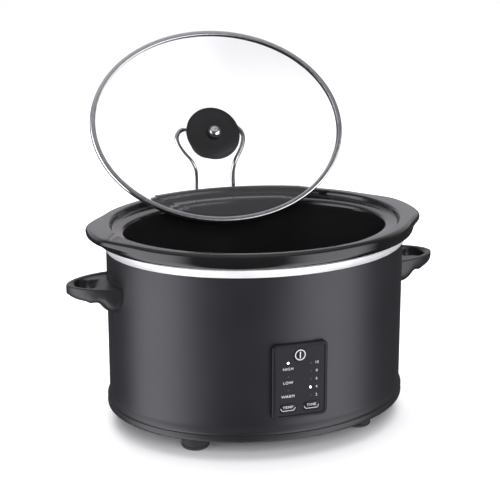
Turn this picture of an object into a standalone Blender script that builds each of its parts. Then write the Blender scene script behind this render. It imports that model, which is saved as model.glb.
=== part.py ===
"""Oval slow cooker with a programmable front panel, a lift-out stoneware crock, and a glass lid that
hangs by its knob from a chrome lid rest behind the rim.

Lengths are in millimetres and MM turns them into Blender's metres. +Z is up and -Y is the front.
Ovals are written as a pair of half axes, (along X, along Y), and shared by everything that fits them.
"""

import math

import bmesh
import bpy
from mathutils import Vector

MM = 0.001
CLEAR = 0.3              # gap left between two pieces that touch
SEGMENTS = 48            # facets round the large ovals

# Housing
BODY = (143.5, 118.9)    # outside of the straight steel shell
SHELL_WALL = 0.8
BASE_BOTTOM = 18.7       # lowest edge of the base pan
BASE_HEIGHT = 7.0        # bead of the base pan, up to the shell
SHELL_TOP = 173.4
BEAD = 2.4               # how far the base bead and the shell's foot swell out
TRIM_HEIGHT = 8.1
TRIM_FLARE = 3.6

# Crock
CAVITY_INSET = (17.0, 21.4)   # from the shell in to the cooking space's mouth, at the lid's ledge
CROCK_WALL = 6.0
CROCK_BASE = 6.5
WALL_TAPER = 11.0
CAVITY_CORNER = 13.0
OUTER_CORNER = 9.0
RIM_OVERHANG = (10.5, 8.6)
RECESS_INSET = (4.2, 0.9)
RIM_GAP = 0.8            # between the trim band and the crock's rim
RIM_DEPTH = 14.1
RECESS_DEPTH = 5.0
LEDGE_DROP = 3.4
EAR_REACH = 8.5
EAR_HALF_WIDTH = 62.0
EAR_THICKNESS = 7.5
EAR_ROOT = 54.0          # how far inside the rim an ear's curve starts

# Liner
LINER_WALL = 1.0
LINER_GAP = 2.5          # air between crock and liner
LINER_CLEARANCE = 16.4   # height of the space under the liner
HEATER_THICKNESS = 2.0
HEATER_RAISE = 3.5       # lower edge of the heater above the crock's inner floor
HEATER_HEIGHT = 42.0

# Feet
FOOT_INSET = (62.2, 55.6)
FOOT_RADIUS = 13.0
FOOT_SCREW_RADIUS = 1.9

# Side handles
HANDLE_REACH = 40.8
HANDLE_HALF_WIDTH = 32.0
HANDLE_DROP = 24.9       # top of the handles below the top of the shell
HANDLE_ROOT = 8.5        # how far inside the shell's side the handle's oval starts
HANDLE_CURVE = 1.75      # power of the handle's outline, seen from above
HANDLE_BELLY = 3.0       # power of its rounded underside
HANDLE_EDGE = 1.5
# depth of the handle below its top at each share of its reach
HANDLE_DEPTHS = ((0.0, 26.5), (0.1, 26.0), (0.2, 23.5), (0.3, 18.5), (0.39, 16.4), (0.46, 16.5),
                 (0.54, 17.2), (0.61, 15.8), (0.74, 14.0), (0.88, 11.6), (1.0, 8.5))
SLOT = (9.5, 14.5)
SLOT_WALL = 8.3
HANDLE_SCREW_AT = 19.0
HANDLE_SCREW_RADIUS = 2.0
SCREW_HEAD = 3.6

# Front panel
PANEL_HALF_WIDTH = 26.4
PANEL_CORNER = 3.6
PANEL_EDGE = 1.2
PANEL_RAISE = 14.2       # lower edge of the panel above the shell's foot
PANEL_HEIGHT = 71.2
PANEL_PROUD = 3.0
FRAME_WIDTH = 2.6
FACE_SET_BACK = 0.8
FACE_THICKNESS = 2.4
COLLAR_DEPTH = 9.0
KEY_TRAVEL = 1.0
KEY_FLANGE = 0.8
POWER_KEY_DROP = 11.3    # centre of the power key below the panel's top
POWER_KEY_RADIUS = 6.4
MENU_KEY_MARGIN = (4.2, 4.6)   # from the panel face's left and right edges
MENU_KEY_SPACING = 7.4
MENU_KEY_HEIGHT = 8.4
MENU_KEY_RAISE = 10.3    # centre of the menu keys above the panel's foot
TIME_LAMP_SHIFT = 0.9    # the time lamps stand this far left of their key's centre
TEMP_LAMP_DROP = 17.9
TEMP_LAMP_PITCH = 13.1
TIME_LAMP_DROP = 20.0
TIME_LAMP_PITCH = 7.75
LAMP_RADIUS = 1.0
BOARD_THICKNESS = 1.6
POWER_BOARD = (60.0, 36.0)
POWER_BOARD_INSET = 23.0
BOARD_RAISE = 2.2        # from the base pan up to the power board
COMPONENT_HEIGHT = 8.5
CAPACITOR_RADIUS = 5.0

# Lid, built in its own frame: its rim lies in the XY plane and the knob stands along +Z
LID_OVERLAP = (5.5, 5.4)      # the lid's reach past the cooking space's mouth, onto the ledge
LID_LEAN = math.radians(31.8)
LID_DIP = 10.7           # lower edge of the parked lid below the crock's mouth
HOOK_DROP = 26.84        # along the lid, from the knob's axis down to the wire's legs
GLASS = 4.0
DOME_EDGE = 4.0
DOME_HEIGHT = 22.5
DOME_SEAT = 12.0         # radius of the flat middle under the knob
GASKET = 1.0
LID_LIP = 5.0
RIM_SHEET = 0.6
RIM_HALF_HEIGHT = 2.9
KNOB_FLANGE = 28.4
KNOB_FLANGE_THICKNESS = 3.2
KNOB_NECK = 11.5
KNOB_HEAD = 19.0
KNOB_GRIP = 17.0         # finger room between the knob's flange and its head
KNOB_HEAD_HEIGHT = 12.0
LID_SCREW_RADIUS = 2.5
LID_SCREW_HEAD = 5.3
LID_WASHER = 6.8

# Lid rest
WIRE_RADIUS = 2.25
WIRE_HALF_SPACING = 20.0
WIRE_BEHIND_RIM = 1.2
HOOK_GAP = 8.45          # between the knob's flange and the hook
LEG_IN_GUIDE = 54.0      # length of each leg inside its guide when the wire is up
GUIDE_DROP = 7.4         # top of the guides below the top of the shell
GUIDE_FLOOR = 39.0       # floor of the guides above the shell's foot
GUIDE_CLEAR = 0.35
BRACKET_HALF_WIDTH = 29.0
BRACKET_WALL = 2.6

GLAND_RAISE = 18.0       # centre of the gland above the shell's foot
GLAND_RADIUS = 7.5
GLAND_BORE = 4.0


# ---------------------------------------------------------------- materials

def material(name, color, roughness, metallic=0.0, alpha=1.0):
    """One Principled BSDF material for one sub-part."""
    made = bpy.data.materials.new(name)
    made.use_nodes = True
    shader = made.node_tree.nodes["Principled BSDF"]
    shader.inputs["Base Color"].default_value = (*color, 1.0)
    shader.inputs["Roughness"].default_value = roughness
    shader.inputs["Metallic"].default_value = metallic
    shader.inputs["Alpha"].default_value = alpha
    return made


FINISHES = {
    "shell_paint": ((0.045, 0.045, 0.052), 0.38, 0.6),
    "black_plastic": ((0.03, 0.03, 0.033), 0.5, 0.0),
    "gloss_black": ((0.015, 0.015, 0.017), 0.16, 0.0),
    "glaze": ((0.02, 0.019, 0.019), 0.1, 0.0),
    "bright_steel": ((0.78, 0.78, 0.79), 0.25, 1.0),
    "chrome": ((0.82, 0.82, 0.84), 0.08, 1.0),
    "liner_steel": ((0.6, 0.6, 0.61), 0.4, 1.0),
    "mica": ((0.5, 0.44, 0.33), 0.7, 0.0),
    "rubber": ((0.02, 0.02, 0.02), 0.8, 0.0),
    "silicone": ((0.05, 0.05, 0.055), 0.6, 0.0),
    "board_green": ((0.02, 0.16, 0.06), 0.5, 0.0),
    "component": ((0.05, 0.09, 0.2), 0.5, 0.0),
    "switch_grey": ((0.35, 0.35, 0.37), 0.5, 0.0),
    "lamp": ((0.9, 0.93, 0.98), 0.3, 0.0),
}


def finish(obj, kind):
    """Gives the object its own material, named after it."""
    color, roughness, metallic = FINISHES[kind]
    obj.data.materials.append(material(obj.name + "_finish", color, roughness, metallic))


# ---------------------------------------------------------------- scene helpers

def clear_scene():
    for obj in list(bpy.data.objects):
        bpy.data.objects.remove(obj, do_unlink=True)


def new_collection(name):
    made = bpy.data.collections.new(name)
    bpy.context.scene.collection.children.link(made)
    return made


def link(obj, kind=None, parent=None):
    """Puts a piece in the cooker's collection, under its parent."""
    PARTS.objects.link(obj)
    obj.parent = parent if parent else COOKER
    if kind:
        finish(obj, kind)
    return obj


def cutter(obj, parent=None):
    """Keeps a tool shape out of the model and out of the render."""
    CUTTERS.objects.link(obj)
    obj.parent = parent if parent else COOKER
    obj.hide_render = True
    obj.display_type = "WIRE"
    return obj


def boolean(obj, tool, operation="DIFFERENCE"):
    step = obj.modifiers.new(operation.title() + "_" + tool.name, "BOOLEAN")
    step.operation = operation
    step.object = tool
    step.solver = "EXACT"


# ---------------------------------------------------------------- shape helpers

def grown(oval, by):
    """An oval widened all round by a distance."""
    return (oval[0] + by, oval[1] + by)


def oval_ring(oval, height, count=SEGMENTS):
    return [Vector((oval[0] * math.cos(2 * math.pi * i / count),
                    oval[1] * math.sin(2 * math.pi * i / count), height)) * MM for i in range(count)]


def loft(name, sections, closed=False, count=SEGMENTS):
    """A wall through a stack of (oval, height) sections."""
    return skin(name, [oval_ring(oval, height, count) for oval, height in sections], closed)


def skin(name, outlines, closed=False):
    """A wall through outlines with the same number of points. Closed joins the last to the first, as
    in a band, and otherwise the first and last are capped."""
    bm = bmesh.new()
    rings = [[bm.verts.new(point) for point in outline] for outline in outlines]
    pairs = list(zip(rings, rings[1:]))
    if closed:
        pairs.append((rings[-1], rings[0]))
    for lower, upper in pairs:
        for i in range(len(lower)):
            j = (i + 1) % len(lower)
            bm.faces.new((lower[i], lower[j], upper[j], upper[i]))
    if not closed:
        bm.faces.new(rings[0])
        bm.faces.new(rings[-1])
    bmesh.ops.recalc_face_normals(bm, faces=bm.faces)
    return from_bmesh(name, bm)


def from_bmesh(name, bm):
    mesh = bpy.data.meshes.new(name)
    bm.to_mesh(mesh)
    bm.free()
    mesh.shade_smooth()
    mesh.set_sharp_from_angle(angle=math.radians(35))
    return bpy.data.objects.new(name, mesh)


def turned(name, profile, steps=24, ring=False):
    """A turned piece about its own Z axis. The profile of (radius, height) points runs from the top
    down the outer side, and a ring's profile goes on up its bore and closes."""
    mesh = bpy.data.meshes.new(name)
    edges = [(i, i + 1) for i in range(len(profile) - 1)]
    if ring:
        edges.append((len(profile) - 1, 0))
    mesh.from_pydata([(r * MM, 0.0, z * MM) for r, z in profile], edges, [])
    obj = bpy.data.objects.new(name, mesh)
    screw = obj.modifiers.new("Screw", "SCREW")
    screw.steps = steps
    screw.render_steps = steps
    screw.use_merge_vertices = True
    screw.merge_threshold = 0.00001
    return obj


def box(name, low, high):
    """A plain box between two corners."""
    size = [high[i] - low[i] for i in range(3)]
    centre = [(high[i] + low[i]) / 2 for i in range(3)]
    bm = bmesh.new()
    bmesh.ops.create_cube(bm, size=1.0)
    bmesh.ops.scale(bm, vec=Vector(size) * MM, verts=bm.verts)
    bmesh.ops.translate(bm, vec=Vector(centre) * MM, verts=bm.verts)
    return from_bmesh(name, bm)


def cylinder(name, radius, length, steps=24):
    """A cylinder about its own Z axis, centred on its origin."""
    bm = bmesh.new()
    bmesh.ops.create_cone(bm, cap_ends=True, segments=steps, radius1=radius * MM, radius2=radius * MM,
                          depth=length * MM)
    return from_bmesh(name, bm)


def oval_block(name, oval, low, high, count=SEGMENTS):
    return loft(name, [(oval, low), (oval, high)], count=count)


def plate(name, outline, thickness, edge=0.0, edge_steps=2):
    """A flat plate from a closed outline in XY, centred on its own XY plane."""
    curve = bpy.data.curves.new(name, "CURVE")
    curve.dimensions = "2D"
    curve.fill_mode = "BOTH"
    curve.extrude = (thickness / 2 - edge) * MM
    curve.bevel_depth = edge * MM
    curve.bevel_resolution = edge_steps
    curve.offset = -edge * MM
    spline = curve.splines.new("POLY")
    spline.points.add(len(outline) - 1)
    for point, (x, y) in zip(spline.points, outline):
        point.co = (x * MM, y * MM, 0.0, 1.0)
    spline.use_cyclic_u = True
    return to_mesh(bpy.data.objects.new(name, curve))


def to_mesh(obj):
    """A curve's solid as a welded mesh object, in the curve's place."""
    name = obj.name
    bpy.context.scene.collection.objects.link(obj)
    bpy.context.view_layer.update()
    graph = bpy.context.evaluated_depsgraph_get()
    mesh = bpy.data.meshes.new_from_object(obj.evaluated_get(graph))
    placed = obj.matrix_world.copy()
    bpy.data.objects.remove(obj, do_unlink=True)
    bm = bmesh.new()
    bm.from_mesh(mesh)
    bmesh.ops.remove_doubles(bm, verts=bm.verts, dist=0.000002)
    bmesh.ops.recalc_face_normals(bm, faces=bm.faces)
    bpy.data.meshes.remove(mesh)
    made = from_bmesh(name, bm)
    made.matrix_world = placed
    return made


def rounded_rectangle(half_width, half_height, radius, steps=4):
    """Outline of a rectangle with round corners, counter-clockwise."""
    points = []
    for corner, (sx, sy) in enumerate(((1, 1), (-1, 1), (-1, -1), (1, -1))):
        cx = sx * (half_width - radius)
        cy = sy * (half_height - radius)
        for i in range(steps + 1):
            angle = math.radians(90 * corner + 90 * i / steps)
            points.append((cx + radius * math.cos(angle), cy + radius * math.sin(angle)))
    return points


def superellipse_point(half_x, half_y, power, angle):
    c = math.cos(angle)
    s = math.sin(angle)
    x = math.copysign(half_x * abs(c) ** (2 / power), c)
    y = math.copysign(half_y * abs(s) ** (2 / power), s)
    return (x, y)


def smooth_path(knots, steps):
    """Catmull-Rom points through the knots."""
    padded = [2 * knots[0] - knots[1]] + knots + [2 * knots[-1] - knots[-2]]
    points = []
    for i in range(len(knots) - 1):
        p0, p1, p2, p3 = padded[i:i + 4]
        for k in range(steps):
            t = k / steps
            points.append(0.5 * (2 * p1 + (p2 - p0) * t + (2 * p0 - 5 * p1 + 4 * p2 - p3) * t * t
                                 + (3 * p1 - p0 - 3 * p2 + p3) * t ** 3))
    points.append(knots[-1])
    return points


def wire(name, points, radius, resolution=2):
    curve = bpy.data.curves.new(name, "CURVE")
    curve.dimensions = "3D"
    curve.bevel_depth = radius * MM
    curve.bevel_resolution = resolution
    curve.use_fill_caps = True
    spline = curve.splines.new("POLY")
    spline.points.add(len(points) - 1)
    for knot, point in zip(spline.points, points):
        knot.co = (*(Vector(point) * MM), 1.0)
    return bpy.data.objects.new(name, curve)


def along_y(obj, x, front, z):
    """Stands a turned piece or plate on its side: its own +Z axis then points to the front (-Y)."""
    obj.location = Vector((x, front, z)) * MM
    obj.rotation_euler = (math.radians(90), 0.0, 0.0)
    return obj


def body_y(x, by=0.0):
    """Depth of the housing's front face at a place along X, as a positive distance."""
    a, b = grown(BODY, by)
    return b * math.sqrt(1 - (x / a) ** 2)


def body_x(y, by=0.0):
    a, b = grown(BODY, by)
    return a * math.sqrt(1 - (y / b) ** 2)


# ---------------------------------------------------------------- shared sizes

BEAD_TOP = BASE_BOTTOM + BASE_HEIGHT
SHELL_BOTTOM = BEAD_TOP + CLEAR
PAN_UNDERSIDE = BASE_BOTTOM + 2.3
PAN_FLOOR = PAN_UNDERSIDE + 2.8
TRIM_BOTTOM = SHELL_TOP + CLEAR
TRIM_TOP = TRIM_BOTTOM + TRIM_HEIGHT
FLANGE_SEAT = TRIM_TOP - 4.1
RIM = (BODY[0] + RIM_OVERHANG[0], BODY[1] + RIM_OVERHANG[1])
RECESS = (BODY[0] - RECESS_INSET[0], BODY[1] - RECESS_INSET[1])
CAVITY = (BODY[0] - CAVITY_INSET[0], BODY[1] - CAVITY_INSET[1])
LID = (CAVITY[0] + LID_OVERLAP[0], CAVITY[1] + LID_OVERLAP[1])
RIM_UNDERSIDE = TRIM_TOP + RIM_GAP
RIM_TOP = RIM_UNDERSIDE + RIM_DEPTH
LEDGE_TOP = RIM_TOP - RECESS_DEPTH
MOUTH = LEDGE_TOP - LEDGE_DROP
LINER_UNDERSIDE = PAN_FLOOR + LINER_CLEARANCE
LINER_FLOOR = LINER_UNDERSIDE + LINER_WALL
CROCK_BOTTOM = LINER_FLOOR + LINER_GAP + CLEAR
CAVITY_FLOOR = CROCK_BOTTOM + CROCK_BASE
HEATER_LOW = CAVITY_FLOOR + HEATER_RAISE
HEATER_HIGH = HEATER_LOW + HEATER_HEIGHT
FOOT_AT = (BODY[0] - FOOT_INSET[0], BODY[1] - FOOT_INSET[1])
HANDLE_TOP = SHELL_TOP - HANDLE_DROP
PANEL_LOW = SHELL_BOTTOM + PANEL_RAISE
PANEL_HIGH = PANEL_LOW + PANEL_HEIGHT
PANEL_FRONT = BODY[1] + PANEL_PROUD
PANEL_MIDDLE = (PANEL_LOW + PANEL_HIGH) / 2
PANEL_HALF_HEIGHT = PANEL_HEIGHT / 2
FACE_HALF = (PANEL_HALF_WIDTH - FRAME_WIDTH - 2 * CLEAR, PANEL_HALF_HEIGHT - FRAME_WIDTH - 2 * CLEAR)
MENU_KEY_WIDTH = FACE_HALF[0] - (sum(MENU_KEY_MARGIN) + MENU_KEY_SPACING) / 2
TEMP_COLUMN = MENU_KEY_MARGIN[0] + MENU_KEY_WIDTH / 2 - FACE_HALF[0]
TIME_KEY_COLUMN = FACE_HALF[0] - MENU_KEY_MARGIN[1] - MENU_KEY_WIDTH / 2
FACE_FRONT = PANEL_FRONT - FACE_SET_BACK
FACE_BACK = FACE_FRONT - FACE_THICKNESS
KEY_TAIL = FACE_BACK - 3.2
SWITCH_FRONT = KEY_TAIL - KEY_TRAVEL - CLEAR
BOARD_FRONT = SWITCH_FRONT - 3.6
KNOB_BASE = DOME_HEIGHT + CLEAR + GASKET + CLEAR
KNOB_FLANGE_TOP = KNOB_BASE + KNOB_FLANGE_THICKNESS
WIRE_PLANE = KNOB_FLANGE_TOP + HOOK_GAP + WIRE_RADIUS
WIRE_Y = RIM[1] + WIRE_BEHIND_RIM + WIRE_RADIUS
LID_CENTRE = (0.0, WIRE_Y - WIRE_PLANE * math.cos(LID_LEAN) + HOOK_DROP * math.sin(LID_LEAN),
              MOUTH - LID_DIP + LID[1] * math.cos(LID_LEAN))
GUIDE_TOP = SHELL_TOP - GUIDE_DROP
GUIDE_BOTTOM = SHELL_BOTTOM + GUIDE_FLOOR
WIRE_FOOT = GUIDE_TOP - LEG_IN_GUIDE
GLAND_HEIGHT = SHELL_BOTTOM + GLAND_RAISE


def taper(height):
    """How far the walls of crock and liner have drawn in at a height below the crock's mouth."""
    depth = (MOUTH - height) / (MOUTH - CAVITY_FLOOR)
    return WALL_TAPER * min(1.0, max(0.0, depth)) ** 1.4


def corner(height, floor, radius):
    """Inset of a rounded corner that rises from a floor."""
    below = max(0.0, floor + radius - height) / radius
    return radius * (1 - math.sqrt(max(0.0, 1 - below * below)))


def cavity_at(height):
    return grown(CAVITY, -taper(height) - corner(height, CAVITY_FLOOR, CAVITY_CORNER))


def crock_outside(height):
    return grown(CAVITY, CROCK_WALL - taper(height) - corner(height, CROCK_BOTTOM, OUTER_CORNER))


def liner_inside(height):
    return grown(CAVITY, CROCK_WALL + LINER_GAP - taper(height) - corner(height, LINER_FLOOR, OUTER_CORNER))


def wall_heights(floor, radius, top):
    """Heights at which a tapering wall is drawn, from its floor up to its mouth."""
    return [floor + radius * share for share in (0.0, 0.12, 0.5, 1.0)] + [HEATER_HIGH + 8, top]


# ---------------------------------------------------------------- housing

def make_shell():
    swell = BEAD
    outside = [(0.0, SHELL_TOP), (0.0, SHELL_BOTTOM + 8.0), (0.7 * swell, SHELL_BOTTOM + 4.6),
               (swell, SHELL_BOTTOM + 2.4), (0.7 * swell, SHELL_BOTTOM)]
    inside = [(offset - SHELL_WALL, height) for offset, height in reversed(outside)]
    shell = loft("body_shell", [(grown(BODY, offset), height) for offset, height in outside + inside],
                 closed=True)
    link(shell, "shell_paint")
    window = box("panel_window", (-window_half()[0], -PANEL_FRONT - 5, PANEL_MIDDLE - window_half()[1]),
                 (window_half()[0], -BODY[1] + 20, PANEL_MIDDLE + window_half()[1]))
    boolean(shell, cutter(window))
    for side in (-1, 1):
        for y in (-HANDLE_SCREW_AT, HANDLE_SCREW_AT):
            hole = cylinder("handle_hole", HANDLE_SCREW_RADIUS + CLEAR, 30, 12)
            hole.location = Vector((side * body_x(y), y, handle_screw_height())) * MM
            hole.rotation_euler = (0.0, math.radians(90), 0.0)
            boolean(shell, cutter(hole))
    gland_hole = along_y(cylinder("gland_hole", GLAND_RADIUS + CLEAR, 30, 20), 0, BODY[1], GLAND_HEIGHT)
    boolean(shell, cutter(gland_hole))
    for height in bracket_screw_heights():
        hole = along_y(cylinder("bracket_hole", HANDLE_SCREW_RADIUS + CLEAR, 30, 12), 0, BODY[1], height)
        boolean(shell, cutter(hole))


def window_half():
    """Half width and half height of the hole in the shell behind the panel's frame."""
    return (PANEL_HALF_WIDTH - 2.2, PANEL_HALF_HEIGHT - 2.2)


def make_base_pan():
    inner = SHELL_WALL + 0.5
    bead = [(-9.0, PAN_UNDERSIDE), (-8.0, BASE_BOTTOM), (0.6, BASE_BOTTOM), (BEAD - 0.3, BASE_BOTTOM + 1.4),
            (BEAD, BASE_BOTTOM + 3.8), (BEAD - 0.3, BEAD_TOP - 0.9), (0.7 * BEAD, BEAD_TOP),
            (-inner, BEAD_TOP), (-inner, BEAD_TOP + 5.4), (-inner - 1.8, BEAD_TOP + 5.4),
            (-inner - 1.8, PAN_FLOOR)]
    pan = loft("base_pan", [(grown(BODY, offset), height) for offset, height in bead])
    link(pan, "black_plastic")
    for x in (-FOOT_AT[0], FOOT_AT[0]):
        for y in (-FOOT_AT[1], FOOT_AT[1]):
            hole = cylinder("foot_hole", FOOT_SCREW_RADIUS + CLEAR, 20, 12)
            hole.location = Vector((x, y, PAN_FLOOR)) * MM
            boolean(pan, cutter(hole))
    stud_hole = cylinder("stud_hole", 3.0, 20, 16)
    stud_hole.location = Vector((0, 0, PAN_FLOOR)) * MM
    boolean(pan, cutter(stud_hole))
    for x in (-48, -36, -24, 24, 36, 48):
        vent = box("vent", (x - 1.5, -14, PAN_UNDERSIDE - 3), (x + 1.5, 14, PAN_FLOOR + 3))
        boolean(pan, cutter(vent))


def make_feet():
    top = PAN_UNDERSIDE - CLEAR
    head_seat = 9.0
    for side, x in (("left", -FOOT_AT[0]), ("right", FOOT_AT[0])):
        for end, y in (("front", -FOOT_AT[1]), ("rear", FOOT_AT[1])):
            bore = FOOT_SCREW_RADIUS + CLEAR
            foot = turned(f"foot_{end}_{side}", [
                (FOOT_RADIUS + 1.2, top), (FOOT_RADIUS, 2.0), (FOOT_RADIUS - 1.6, 0.0), (5.6, 0.0),
                (5.2, head_seat), (bore, head_seat), (bore, top)], steps=16, ring=True)
            foot.location = Vector((x, y, 0.0)) * MM
            link(foot, "rubber")
            shank_top = PAN_FLOOR + 6.0
            head = head_seat - CLEAR
            screw = turned(f"foot_screw_{end}_{side}", [
                (0.0, shank_top), (FOOT_SCREW_RADIUS, shank_top), (FOOT_SCREW_RADIUS, head), (4.4, head),
                (4.4, head - 1.6), (2.0, head - 2.6), (0.0, head - 2.6)], steps=12)
            screw.location = foot.location
            link(screw, "bright_steel")


def make_trim():
    lip = SHELL_WALL + CLEAR
    flare = TRIM_FLARE
    sections = [(0.4, TRIM_BOTTOM), (0.55 * flare, TRIM_BOTTOM + 2.4), (flare, TRIM_TOP - 0.9),
                (flare - 0.5, TRIM_TOP), (0.5 * flare, TRIM_TOP), (0.2 * flare, FLANGE_SEAT),
                (-5.0, FLANGE_SEAT), (-5.0, FLANGE_SEAT - 1.0), (-lip - 1.0, FLANGE_SEAT - 1.0),
                (-lip - 1.0, TRIM_BOTTOM - 5.0), (-lip, TRIM_BOTTOM - 5.0), (-lip, TRIM_BOTTOM)]
    trim = loft("trim_band", [(grown(BODY, offset), height) for offset, height in sections], closed=True)
    link(trim, "bright_steel")


def make_liner():
    flange_low = FLANGE_SEAT + CLEAR
    flange_high = flange_low + LINER_WALL
    heights = wall_heights(LINER_FLOOR, OUTER_CORNER, flange_low - 4.0)
    outside = [(grown(liner_inside(heights[0]), LINER_WALL / 2), LINER_UNDERSIDE)]
    outside += [(grown(liner_inside(z), LINER_WALL), z) for z in heights[1:]]
    outside += [(grown(liner_inside(flange_low), LINER_WALL), flange_low), (BODY, flange_low)]
    inside = [(BODY, flange_high), (liner_inside(flange_high), flange_high)]
    inside += [(liner_inside(z), z) for z in reversed(heights)]
    link(loft("heating_liner", outside + inside), "liner_steel")


def make_heater():
    gap = LINER_WALL + CLEAR
    middle = (HEATER_LOW + HEATER_HIGH) / 2
    heights = [HEATER_LOW, middle, HEATER_HIGH]
    inner = [(grown(liner_inside(z), gap + 0.3), z) for z in heights]
    outer = [(grown(oval, HEATER_THICKNESS), z) for oval, z in reversed(inner)]
    link(loft("heater_band", inner + outer, closed=True), "mica")


def make_stud():
    top = LINER_UNDERSIDE - CLEAR
    nut_top = PAN_UNDERSIDE - CLEAR
    stud = turned("liner_stud", [(0.0, top), (10.0, top), (10.0, top - 2.0), (2.5, top - 2.6),
                                 (2.5, nut_top - 4.6), (0.0, nut_top - 4.6)], steps=16)
    link(stud, "bright_steel")
    nut = cylinder("stud_nut", 5.6, 4.0, 6)
    nut.location.z = (nut_top - 2.0) * MM
    link(nut, "bright_steel")
    nut_bore = cylinder("nut_bore", 2.5 + CLEAR, 9.0, 16)
    nut_bore.location = nut.location
    boolean(nut, cutter(nut_bore))


def make_sensor():
    """A sprung temperature sensor that presses up against the liner's floor."""
    place = Vector((34.0, 22.0, 0.0)) * MM
    top = LINER_UNDERSIDE - CLEAR
    low = PAN_FLOOR + CLEAR
    outline = [(0.0, top), (8.0, top), (8.0, top - 5.0), (0.0, top - 5.0)]
    sensor = turned("temperature_sensor", outline, steps=20)
    sensor.location = place
    link(sensor, "bright_steel")
    seat = turned("sensor_seat", [(0.0, low + 1.2), (7.2, low + 1.2), (7.2, low + 3.2), (8.4, low + 3.2),
                                  (8.4, low), (0.0, low)], steps=20)
    seat.location = place
    link(seat, "black_plastic")
    bottom = low + 1.2 + CLEAR + 0.5
    ceiling = top - 5.0 - CLEAR - 0.5
    turns = 3.0
    count = 27
    coil = []
    for i in range(count + 1):
        angle = 2 * math.pi * turns * i / count
        coil.append((5.0 * math.cos(angle), 5.0 * math.sin(angle), bottom + (ceiling - bottom) * i / count))
    spring = wire("sensor_spring", coil, 0.45, 1)
    spring.location = place
    link(spring, "bright_steel")


def make_fuse():
    """A thermal fuse lying along the liner's rear wall, above the heater band."""
    height = HEATER_HIGH + 6.0
    back = liner_inside(height)[1] + LINER_WALL
    fuse = cylinder("thermal_fuse", 2.2, 22, 12)
    fuse.location = Vector((0.0, back + 2.2 + 1.2, height)) * MM
    fuse.rotation_euler = (0.0, math.radians(90), 0.0)
    link(fuse, "switch_grey")


def make_power_board():
    low = PAN_FLOOR + BOARD_RAISE
    front = POWER_BOARD_INSET - BODY[1]
    half_width = POWER_BOARD[0] / 2
    board = box("power_board", (-half_width, front, low),
                (half_width, front + POWER_BOARD[1], low + BOARD_THICKNESS))
    link(board, "board_green")
    top = low + BOARD_THICKNESS + CLEAR
    rise = COMPONENT_HEIGHT
    relay = box("power_relay", (6 - half_width, front + 12, top), (22 - half_width, front + 31, top + rise))
    link(relay, "component")
    radius = CAPACITOR_RADIUS
    capacitor = turned("filter_capacitor", [
        (0.0, rise), (radius - 0.4, rise), (radius, rise - 0.4), (radius, 0.0), (0.0, 0.0)], steps=20)
    capacitor.location = Vector((half_width - 4 * radius, front + 20, top)) * MM
    link(capacitor, "component")


# ---------------------------------------------------------------- handles

def handle_screw_height():
    return HANDLE_TOP - HANDLE_DEPTHS[0][1] / 2


def handle_depth(share):
    """Depth of the handle below its top at a share of its reach from the shell, with soft steps."""
    if share <= 0:
        return HANDLE_DEPTHS[0][1]
    for (start, before), (end, after) in zip(HANDLE_DEPTHS, HANDLE_DEPTHS[1:]):
        if share <= end:
            part = (share - start) / (end - start)
            return before + (after - before) * part * part * (3 - 2 * part)
    return HANDLE_DEPTHS[-1][1]


def handle_section(out):
    """Section of a handle at a distance out from the shell's side: flat on top, rounded below."""
    share = max(0.0, (out + HANDLE_ROOT) / (HANDLE_REACH + HANDLE_ROOT))
    width = max(2.0, HANDLE_HALF_WIDTH * (1 - min(1.0, share) ** HANDLE_CURVE) ** (1 / HANDLE_CURVE))
    edge = min(HANDLE_EDGE, 0.4 * width)
    points = [(-width + edge, 0.0)]
    count = 18
    for i in range(count + 1):
        angle = math.pi * (1 + i / count)
        y, z = superellipse_point(width, handle_depth(out / HANDLE_REACH) - edge, HANDLE_BELLY, angle)
        points.append((y, min(0.0, z) - edge))
    points.append((width - edge, 0.0))
    return points


def make_handle(name, side):
    stations = 16
    outs = [-26.0]
    for i in range(stations + 1):
        outs.append((HANDLE_REACH + HANDLE_ROOT) * math.sin(math.pi / 2 * i / stations) - HANDLE_ROOT)
    outlines = []
    for out in outs:
        x = side * (BODY[0] + out)
        outlines.append([Vector((x, y, HANDLE_TOP + z)) * MM for y, z in handle_section(out)])
    handle = link(skin(name, outlines), "black_plastic")
    boolean(handle, cutter(oval_block("handle_root_" + name, grown(BODY, CLEAR), 60, 240)))
    tip = BODY[0] + HANDLE_REACH
    slot = oval_block("finger_slot_" + name, SLOT, 100, 170, count=24)
    slot.location = Vector((side * (tip - SLOT_WALL - SLOT[0]), 0, 0)) * MM
    boolean(handle, cutter(slot))
    for end, y in (("front", -HANDLE_SCREW_AT), ("rear", HANDLE_SCREW_AT)):
        inside = body_x(HANDLE_SCREW_AT + SCREW_HEAD, -SHELL_WALL) - 2 * CLEAR
        shank = 15.0
        bore = cylinder("handle_bore", HANDLE_SCREW_RADIUS + CLEAR, 2 * shank + 1, 12)
        bore.location = Vector((side * inside, y, handle_screw_height())) * MM
        bore.rotation_euler = (0.0, math.radians(90), 0.0)
        boolean(handle, cutter(bore))
        screw = turned(f"{name}_screw_{end}", [
            (0.0, shank), (HANDLE_SCREW_RADIUS, shank), (HANDLE_SCREW_RADIUS, 0.0), (SCREW_HEAD, 0.0),
            (SCREW_HEAD, -1.0), (2.2, -1.8), (0.0, -1.8)], steps=12)
        screw.location = Vector((side * inside, y, handle_screw_height())) * MM
        screw.rotation_euler = (0.0, math.radians(90 * side), 0.0)
        link(screw, "bright_steel")


# ---------------------------------------------------------------- control panel

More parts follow.
